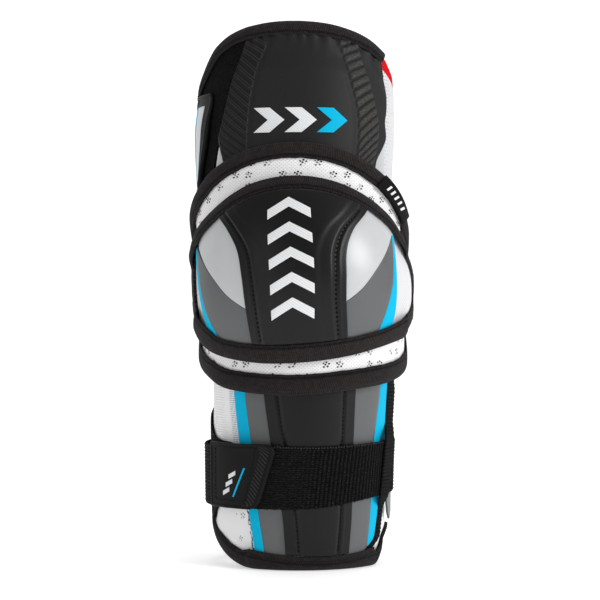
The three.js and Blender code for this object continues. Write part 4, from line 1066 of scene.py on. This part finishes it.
def cap_tape(node, edge, side, leg, left, right):
    """A tape of the cap: wider at its two ends, but never wider than meets the other tape at the tips."""
    def shown(bearing):
        wide = leg + 0.7 + np.where(bearing < 0, left, right) * smooth(np.abs(bearing), 38, 60)
        return np.minimum(wide, 0.52 * (cap_top(bearing) - cap_bottom(bearing)))
    tape(node, (CAP_FROM, CAP_TO), edge, side,
         lambda b: edge_outline(b, shown(b), cap_tape_out(b)), 200, cap_in)
    bearing = np.linspace(-56, 58, 500)
    b, z = beside(bearing, edge, side, 2.0 - shown(bearing))
    threads.row(b, z, cap_in(b, z) + cap_tape_out(b) + STITCH_RISE)


def cap_tip(name, start, end):
    """Black facing where the two tapes of the cap meet at the side."""
    pillow(name, lens(start, end, cap_bottom, cap_top), on_cap(CAP_THICK), on_cap(CAP_THICK + 2.1),
           (16, 40), 0.6, PLAIN_TAPE, slot="black_tape")


def cap_place(side, local, z):
    return CAP_TURN + side * local, z + CAP_ROLL * side * local


def cap_panels(side, name):
    """The light, dark and blue panels on one side of the cap; local is the bearing out from its middle."""
    def leaf(u):
        return lerp(CAP_INNER, CAP_LEAF_END, u)

    def leaf_line(local, lift):
        return cap_place(side, local, read(CAP_LEAF, "z", local, "local") + lift)

    def edge_line(edge, local):
        bearing = CAP_TURN + side * local
        return bearing, edge(bearing)

    def blue_edge(end, shift):
        column = f"{name}_{end}"
        first = CAP_BLUE[column][0] + shift

        def line(v):
            low = edge_line(cap_bottom, first)[1] - CAP_ROLL * side * first
            z = lerp(low, CAP_BLUE_TOP, v)
            return cap_place(side, read(CAP_BLUE, column, z) + shift, z)
        return line

    def dark_top(u):
        end, line, miss = dark_edge(1.0), leaf_line(leaf(u), -CLOSE), leaf_line(CAP_LEAF_END, -CLOSE)
        return line[0] + (end[0] - miss[0]) * u * u, line[1] + (end[1] - miss[1]) * u * u

    dark_edge = blue_edge("in", -CLOSE)
    inside, outside = blue_edge("in", CLOSE), blue_edge("out", 0)
    inner_foot, outer_foot = CAP_BLUE[name + "_in"][0], CAP_BLUE[name + "_out"][0]
    light = patch(lambda u: leaf_line(leaf(u), -UNDER_DARK), lambda u: edge_line(cap_top, leaf(u)),
                  between(leaf_line(CAP_INNER, -UNDER_DARK), edge_line(cap_top, CAP_INNER)),
                  between(leaf_line(CAP_LEAF_END, -UNDER_DARK), edge_line(cap_top, CAP_LEAF_END)))
    dark = patch(lambda u: edge_line(cap_bottom, lerp(CAP_INNER, inner_foot - CLOSE, u)), dark_top,
                 between(edge_line(cap_bottom, CAP_INNER), leaf_line(CAP_INNER, -CLOSE)), dark_edge)
    blue = patch(lambda u: edge_line(cap_bottom, lerp(inner_foot + CLOSE, outer_foot, u)),
                 between(inside(1.0), outside(1.0)), inside, outside)
    for kind, at, lift, material in (("light_panel", light, 0, LIGHT), ("dark_panel", dark, 0.15, DARK),
                                     ("blue_trim", blue, 0.15, BLUE)):
        dress(f"cap_{kind}_{name}", at, on_cap(CAP_PANEL_IN), on_cap(CAP_PANEL_OUT + lift), (30, 42), 0.15,
              material)


def plate_middle(z):
    return CAP_TURN + read(CAP_PLATE, "middle", z)


def cap_plate_patch(u, v):
    bearing, z = CAP_TURN + 0 * u, SEAM_Z + 0 * u
    for _ in range(PASSES):
        bearing = plate_middle(z) + lerp(-1, 1, u) * read(CAP_PLATE, "half", z)
        low = cap_bottom(bearing) + (CAP_BOTTOM_TAPE + 2 * GAP) * edge_frame(bearing, cap_bottom)[2]
        high = cap_top(bearing) - (CAP_TOP_TAPE + 2 * GAP) * edge_frame(bearing, cap_top)[2]
        z = lerp(low, high, v)
    return bearing, z


def plate_step(from_edge, seam):
    """Height of a stitched plate: a flat flange, a bead, a sunk stitch line and a raised middle."""
    bead = 0.3 * np.exp(-(((from_edge - seam + 1.7) / 0.8) ** 2))
    groove = -0.45 * np.exp(-(((from_edge - seam) / 0.6) ** 2))
    raised = (PLATE_THICK - PLATE_FLANGE) * smooth(from_edge, seam + 0.3, seam + 3.2)
    return PLATE_FLANGE + bead + groove + raised


def cap_plate_out(bearing, z):
    from_edge = (read(CAP_PLATE, "half", z) - np.abs(bearing - plate_middle(z))) * DEGREE_ON_CAP
    thick = plate_step(from_edge, CAP_SEAM) + 0.4 * smooth(from_edge, 13, 17)
    return cap_in(bearing, z) + CAP_PLATE_IN + thick


def cap_chevron(number, half=8.5, rise=7.2, tall=5.8):
    """A printed chevron on the cap plate that points up."""
    low = 149 + 14.6 * number

    def at(u, v):
        aside = 2 * u - 1
        z = low + rise * (1 - np.abs(aside)) + tall * v + CAP_ROLL * half * aside
        return CAP_TURN + half * aside, z
    pillow(f"cap_chevron_{number}", at, cap_plate_out, lambda b, z: cap_plate_out(b, z) + 0.55, (24, 8), 0.4,
           PRINT, slot="black_mould")


def sleeve_side(name, start, end):
    """Black facing on the side of the sleeve, between its own tape and the cap's."""
    def at(u, v):
        bearing = lerp(start, end, u)
        return bearing, lerp(cap_top(bearing) - 4, sleeve_top(bearing) - 3, v)
    pillow(name, at, on_sleeve(SLEEVE_THICK - 0.3), on_sleeve(SLEEVE_THICK + 0.9), (30, 30), 0.5, PLAIN_TAPE,
           slot="black_tape")


def label_patch(u, v):
    bearing = lerp(LABEL_FROM, LABEL_TO, u)
    return beside(bearing, sleeve_top, 1, lerp(-SLEEVE_TOP_TAPE - GAP, 0.6, v))


def label_bar(number):
    """A plain printed bar on the label."""
    start = 0.2 + 0.13 * number

    def at(u, v):
        return label_patch(lerp(start, start + 0.05, u) + 0.03 * v, lerp(0.28, 0.7, v))
    pillow(f"label_bar_{number}", at, on_sleeve(LABEL_OUT - 0.2), on_sleeve(LABEL_OUT + 0.2), (4, 8), 0.2,
           PRINT, slot="black_tape")


def elbow():
    body = dress("elbow_sleeve", lens(-SLEEVE_TIP, SLEEVE_TIP, sleeve_bottom, sleeve_top), sleeve_in,
                 lambda b, z: sleeve_in(b, z) + SLEEVE_THICK + 0.12 * waviness(b, z), (150, 60), 2.0, MESH)
    sleeve_tape("sleeve_binding_top", sleeve_top, 1, SLEEVE_TOP_TAPE)
    sleeve_tape("sleeve_binding_bottom", sleeve_bottom, -1, SLEEVE_BOTTOM_TAPE)
    dress("sleeve_label", label_patch, on_sleeve(LABEL_IN), on_sleeve(LABEL_OUT), (30, 14), 0.4, LABEL)
    for number in range(5):
        label_bar(number)
    sleeve_side("sleeve_side_left", -98, -70)
    sleeve_side("sleeve_side_right", 66, 98)
    cap = dress("elbow_cap", lens(CAP_FROM, CAP_TO, cap_bottom, cap_top), cap_in, on_cap(CAP_THICK),
                (120, 70), 1.3, PLAIN_MESH,
                lambda b, z, inside: 0.6 * smooth(np.abs(b - CAP_TURN), 56, 64))
    cap_tape("cap_binding_top", cap_top, 1, CAP_TOP_TAPE, 0.6, 0)
    cap_tape("cap_binding_bottom", cap_bottom, -1, CAP_BOTTOM_TAPE, 4.2, 2.6)
    cap_tip("cap_tip_left", CAP_FROM, -62.5)
    cap_tip("cap_tip_right", 75, CAP_TO)
    cap_panels(-1, "left")
    cap_panels(1, "right")
    dress("cap_centre_plate", cap_plate_patch, on_cap(CAP_PLATE_IN), cap_plate_out, (110, 100), 0.6, PLATE)
    for side in (-1, 1):
        bearing, z = cap_plate_patch(np.full(200, 0.5 + side * 0.5), np.linspace(0.01, 0.99, 200))
        bearing = bearing - side * CAP_SEAM / DEGREE_ON_CAP
        threads.row(bearing, z, cap_plate_out(bearing, z) + 0.2, 2.7, 1.7, 0.75)
    for number in range(5):
        cap_chevron(number)


# Forearm
def band_edge(column, shift=0.0):
    return lambda z: read(BANDS, column, z) + shift


def panel_foot(bearing):
    return lower_wall(bearing) + 2 * GAP


def band_patch(left, right, low=panel_foot):
    def at(u, v):
        bearing, z = 0 * u, 0 * u
        for _ in range(PASSES):
            bearing = lerp(left(z), right(z), u)
            z = lerp(low(bearing), PANEL_HIGH, v)
        return bearing, z
    return at


def plate_out(bearing, z):
    from_left = (bearing - read(BANDS, "plate_left", z)) * DEGREE_ON_FOREARM
    from_right = (read(BANDS, "plate_right", z) - bearing) * DEGREE_ON_FOREARM
    return PLATE_IN + np.minimum(plate_step(from_left, LEFT_SEAM), plate_step(from_right, RIGHT_SEAM))


def lower_tape_out(bearing):
    over = smooth(bearing, -39, -32) * (1 - smooth(bearing, 62.5, 70.5))
    return lerp(PANEL_IN, PLATE_IN, over)


def panel_tape_low(bearing):
    return FOREARM_TAPE + 4 * (np.clip(bearing - 12, -46, 46) / 45) ** 2


def panel_tape_high(bearing):
    return panel_tape_low(bearing) + lerp(0.8, 2.6, smooth(bearing, -44, -28))


def lower_leg(bearing):
    """Width of the lower binding: up to the panel tape in front, narrow where the right side is cut up."""
    front = smooth(bearing, -52, -38) * (1 - smooth(bearing, 54, 62))
    left = FOREARM_TAPE + 2.7 * within(bearing, -84, -20, 22)
    return lerp(left, panel_tape_low(bearing) - TAPE_EDGE + 0.3, front) - 5.2 * within(bearing, 60, 120, 8)


def webbing_over(z):
    """How far the webbing has bent out over the strap, from 0 to 1."""
    return 1 - np.clip(smooth(43.5 - z, 0.5, 9) + smooth(z - 75.6, 0.5, 11), 0, 1)


def webbing_foot(z):
    """How far the webbing turns in towards the plate at its foot."""
    return 11 * (1 - smooth(z, 7.5, 19))


def webbing_front(z):
    return read(BANDS, "blue_right", z) + CLOSE - webbing_foot(z) - 7.7 * webbing_over(z)


def blue_under_webbing(z):
    return read(BANDS, "blue_right", z) + 3.5 * smooth(webbing_over(z), 0.02, 0.35) - 0.7 * webbing_foot(z)


def webbing_width(z):
    return lerp(7, 12, smooth(z, 34, 46))


def webbing_patch(u, v):
    z = lerp(WEBBING_LOW, WEBBING_HIGH, v)
    return webbing_front(z) + u * webbing_width(z), z


def webbing_in(bearing, z):
    across = (bearing - webbing_front(z)) / webbing_width(z)
    low = PANEL_OUT - 0.9 + 1.6 * across * (1 - smooth(z, 104, 118)) * smooth(z, 30, 60)
    return lerp(low, front_strap_in(bearing) + STRAP_THICK + GAP, webbing_over(z))


def webbing_end_patch(u, v):
    low = lerp(31, 26.5, 1 - np.abs(2 * u - 1))
    return lerp(lerp(72, 67, v), 81, u), lerp(low, 46, v)


def elastic_edge(column):
    last, first = STRAP_EDGE[column][-1], STRAP_EDGE[column][0]
    return lambda bearing: lerp(last, first, smooth(bearing, ELASTIC_FROM + GAP, ELASTIC_TO - GAP))


def strap_in(bearing, z):
    return front_strap_in(bearing)


def strap_out(bearing, z):
    return front_strap_in(bearing) + STRAP_THICK


def strap_edge(column, phase):
    """An edge of the loop strap, a little ragged."""
    def edge(bearing):
        ragged = np.sin(5.3 * bearing + phase) + np.sin(3.1 * bearing + 2 * phase) + np.sin(8.9 * bearing)
        return read(STRAP_EDGE, column, bearing, "bearing") + 0.12 * ragged
    return edge


def strap_wales(bearing, z, inside):
    lean = np.radians(bearing) * ARC_RADIUS - WALE_LEAN * z
    return 0.25 * np.sin(lean * TAU / WALE) * smooth(inside, 0, 1.5) * smooth(bearing, WALES_FROM, WALES_FULL)


def tab_ridge(bearing, z, inside):
    """Slanted grip ridges near the front edge of the tab, from 0 to 1."""
    front = (read(TAB_FRONT, "edge", z) - bearing) * DEGREE_ON_TAB
    ridge = 0.5 + 0.5 * np.sin(TAU * (z - 0.8 * front) / 2.1)
    return ridge * within(front, 2.8, 9.4, 0.7) * smooth(inside, 2.6, 3.2)


def tab_relief(bearing, z, inside):
    return -0.6 * smooth(inside, 1.7, 2.4) + 0.6 * tab_ridge(bearing, z, inside)


def tab_patch(u, v):
    z = lerp(TAB_LOW, TAB_HIGH, v)
    return lerp(TAB_BACK, read(TAB_FRONT, "edge", z), u), z


def tab_marks(face):
    """The stitched border of the tab, and a blue line and three plain bars inside it."""
    low_back, low_front, high_back, high_front = (-54.6, 41.2), (-31.7, 41.2), (-54.6, 73), (-24.9, 73)
    for start, end, count in ((low_back, high_back, 120), (low_front, high_front, 120),
                              (low_back, low_front, 90), (high_back, high_front, 90)):
        bearing, z = between(start, end)(np.linspace(0, 1, count))
        threads.row(bearing, z, face + 0.1, 2.4, 1.6, 0.5)
    pillow("tab_line", lambda u, v: (lerp(-40.4, -32.6, v) + 1.1 * u, lerp(43.5, 61, v)), face - 0.2,
           face + 0.35, (4, 30), 0.3, BLUE, slot="blue_film")
    for number in range(3):
        def bar(u, v, up=5 * number):
            return lerp(-47.6, -42.6, u) + 0.45 * up, 44 + up + 2.6 * u + 2.6 * v
        pillow(f"tab_bar_{number}", bar, face - 0.2, face + 0.35, (12, 8), 0.3, PRINT, slot="rubber_tab")


def flap_low(bearing):
    leg = (FOREARM_TAPE + 2 * GAP) * edge_frame(bearing, lower_wall)[2]
    return np.maximum(read(FLAP_EDGE, "low", bearing, "bearing"), lower_wall(bearing) + leg)


def flap_high(bearing):
    return read(FLAP_EDGE, "high", bearing, "bearing")


def forearm():
    body = dress("forearm_wrap", wrap_patch(lower_wall, flat(SEAM_Z - GAP / 2), False), 0, wrap_out,
                 (150, 64), 2.6, KNIT,
                 mark=lambda b, z, inside: (b - read(BANDS, "blue_left", z)) * DEGREE_ON_FOREARM)
    tape("forearm_binding", (-WRAP_SPAN, WRAP_SPAN), lower_wall, -1,
         lambda b: rim_outline(b, lower_leg(b), lower_tape_out(b)), 240)
    bearing = np.linspace(-160, -36, 400)
    seam = beside(bearing, lower_wall, -1, 1.2 - lower_leg(bearing))
    threads.row(*seam, lower_tape_out(bearing) + STITCH_RISE)
    dress("forearm_panel_tape", lens(PANEL_TAPE_FROM, PANEL_TAPE_TO, panel_tape_low, panel_tape_high),
          PLATE_IN, PLATE_IN + TAPE_THICK, (90, 6), 0.7, PLAIN_TAPE)
    flap = dress("forearm_back_flap", lens(FLAP_FROM, FLAP_TO, flap_low, flap_high), PANEL_IN + GAP / 2,
                 PANEL_OUT + GAP / 2, (90, 40), 0.6, ELASTIC)
    for node, left, right, material in (
            ("grey_panel_left", band_edge("grey_left", CLOSE), band_edge("plate_left", UNDER_PLATE), DARK),
            ("grey_panel_right", band_edge("plate_right", -UNDER_PLATE), band_edge("grey_right", -CLOSE),
             DARK),
            ("blue_trim_left", band_edge("blue_left"), band_edge("grey_left", -CLOSE), BLUE),
            ("blue_trim_right", band_edge("grey_right", CLOSE), blue_under_webbing, BLUE)):
        dress("forearm_" + node, band_patch(left, right), PANEL_IN, PANEL_OUT, (16, 56), 0.15, material)
    plate = band_patch(band_edge("plate_left"), band_edge("plate_right"), lambda b: panel_tape_high(b) + GAP)
    dress("forearm_centre_plate", plate, PLATE_IN, plate_out, (100, 70), 0.6, PLATE)
    z = np.linspace(11, 148, 300)
    for line in (read(BANDS, "plate_left", z) + LEFT_SEAM / DEGREE_ON_FOREARM,
                 read(BANDS, "plate_right", z) - RIGHT_SEAM / DEGREE_ON_FOREARM):
        threads.row(line, z, plate_out(line, z) + 0.2, 2.4, 1.5, 0.65)
    dress("forearm_edge_webbing", webbing_patch, webbing_in, lambda b, z: webbing_in(b, z) + PANEL_THICK,
          (16, 190), 0.6, ELASTIC, ribbed(0.2, WEBBING_RIB))
    strap_low, strap_high = strap_edge("low", 0.4), strap_edge("high", 1.9)
    dress("forearm_loop_strap", lens(STRAP_FROM, STRAP_TO, strap_low, strap_high), strap_in, strap_out,
          (200, 50), 0.7, KNIT_STRAP, strap_wales, lambda b, z, inside: strap_high(b) - z)
    rear = lens(ELASTIC_FROM + GAP, ELASTIC_TO - GAP, elastic_edge("low"), elastic_edge("high"))
    dress("forearm_elastic_strap", rear, strap_in, strap_out, (100, 60), 0.7, ELASTIC,
          ribbed(0.2, ELASTIC_RIB))
    dress("forearm_strap_tab", tab_patch, TAB_IN, TAB_IN + TAB_THICK, (100, 80), 1.2, RUBBER, tab_relief,
          tab_ridge)
    tab_marks(TAB_IN + TAB_THICK - 0.6)
    dress("webbing_end", webbing_end_patch, WEBBING_END_IN, WEBBING_END_IN + PANEL_THICK, (16, 24), 0.5, DARK)


upper_arm()
elbow()
forearm()
for number, material in enumerate((PRINT, PRINT, BLUE)):
    guard_chevron(number, material)
threads.build("stitching", THREAD, "black_tape")


# Stage, camera and light
def sweep_floor():
    """A white floor that curves up behind into a wall."""
    turn = np.linspace(0, math.pi / 2, 16)
    profile = [(-6.0, 0.0)] + [(2.0 + math.sin(a), 1.0 - math.cos(a)) for a in turn] + [(3.0, 5.0)]
    points = [(x, y, z) for x in (-7.0, 7.0) for y, z in profile]
    count = len(profile)
    mesh = bpy.data.meshes.new("floor")
    mesh.from_pydata(points, [], [(count + k, count + k + 1, k + 1, k) for k in range(count - 1)])
    mesh.shade_smooth()
    paint = bpy.data.materials.new("floor_white")
    paint.use_nodes = True
    shader = paint.node_tree.nodes["Principled BSDF"]
    shader.inputs["Base Color"].default_value = (0.92, 0.92, 0.92, 1)
    shader.inputs["Roughness"].default_value = 0.9
    shader.inputs["Emission Color"].default_value = (1, 1, 1, 1)
    shader.inputs["Emission Strength"].default_value = 0.45
    mesh.materials.append(paint)
    floor = bpy.data.objects.new("floor", mesh)
    bpy.context.scene.collection.objects.link(floor)


def area_light(name, place, size, power, target=(0, 0, 0.17)):
    light = bpy.data.lights.new(name, "AREA")
    light.shape = "DISK"
    light.size = size
    light.energy = power
    lamp = bpy.data.objects.new(name, light)
    lamp.location = place
    lamp.rotation_euler = (Vector(target) - Vector(place)).to_track_quat("-Z", "Y").to_euler()
    bpy.context.scene.collection.objects.link(lamp)


def studio():
    sweep_floor()
    world = bpy.data.worlds.new("studio")
    world.use_nodes = True
    world.node_tree.nodes["Background"].inputs["Color"].default_value = (1, 1, 1, 1)
    world.node_tree.nodes["Background"].inputs["Strength"].default_value = 0.4
    bpy.context.scene.world = world
    area_light("key", (1.75, -1.05, 0.9), 0.8, 24)
    area_light("fill", (-1.2, -1.6, 0.7), 1.1, 3.4)
    area_light("top", (0.1, 0.2, 1.9), 1.2, 8)
    camera = bpy.data.cameras.new("camera")
    camera.sensor_width = 36
    camera.lens = 111.4
    eye = bpy.data.objects.new("camera", camera)
    eye.location = (-0.0005, -1.1435, 0.16045)
    eye.rotation_euler = (math.pi / 2, 0, 0)
    bpy.context.scene.collection.objects.link(eye)
    bpy.context.scene.camera = eye
    bpy.context.scene.view_settings.view_transform = "Standard"


studio()
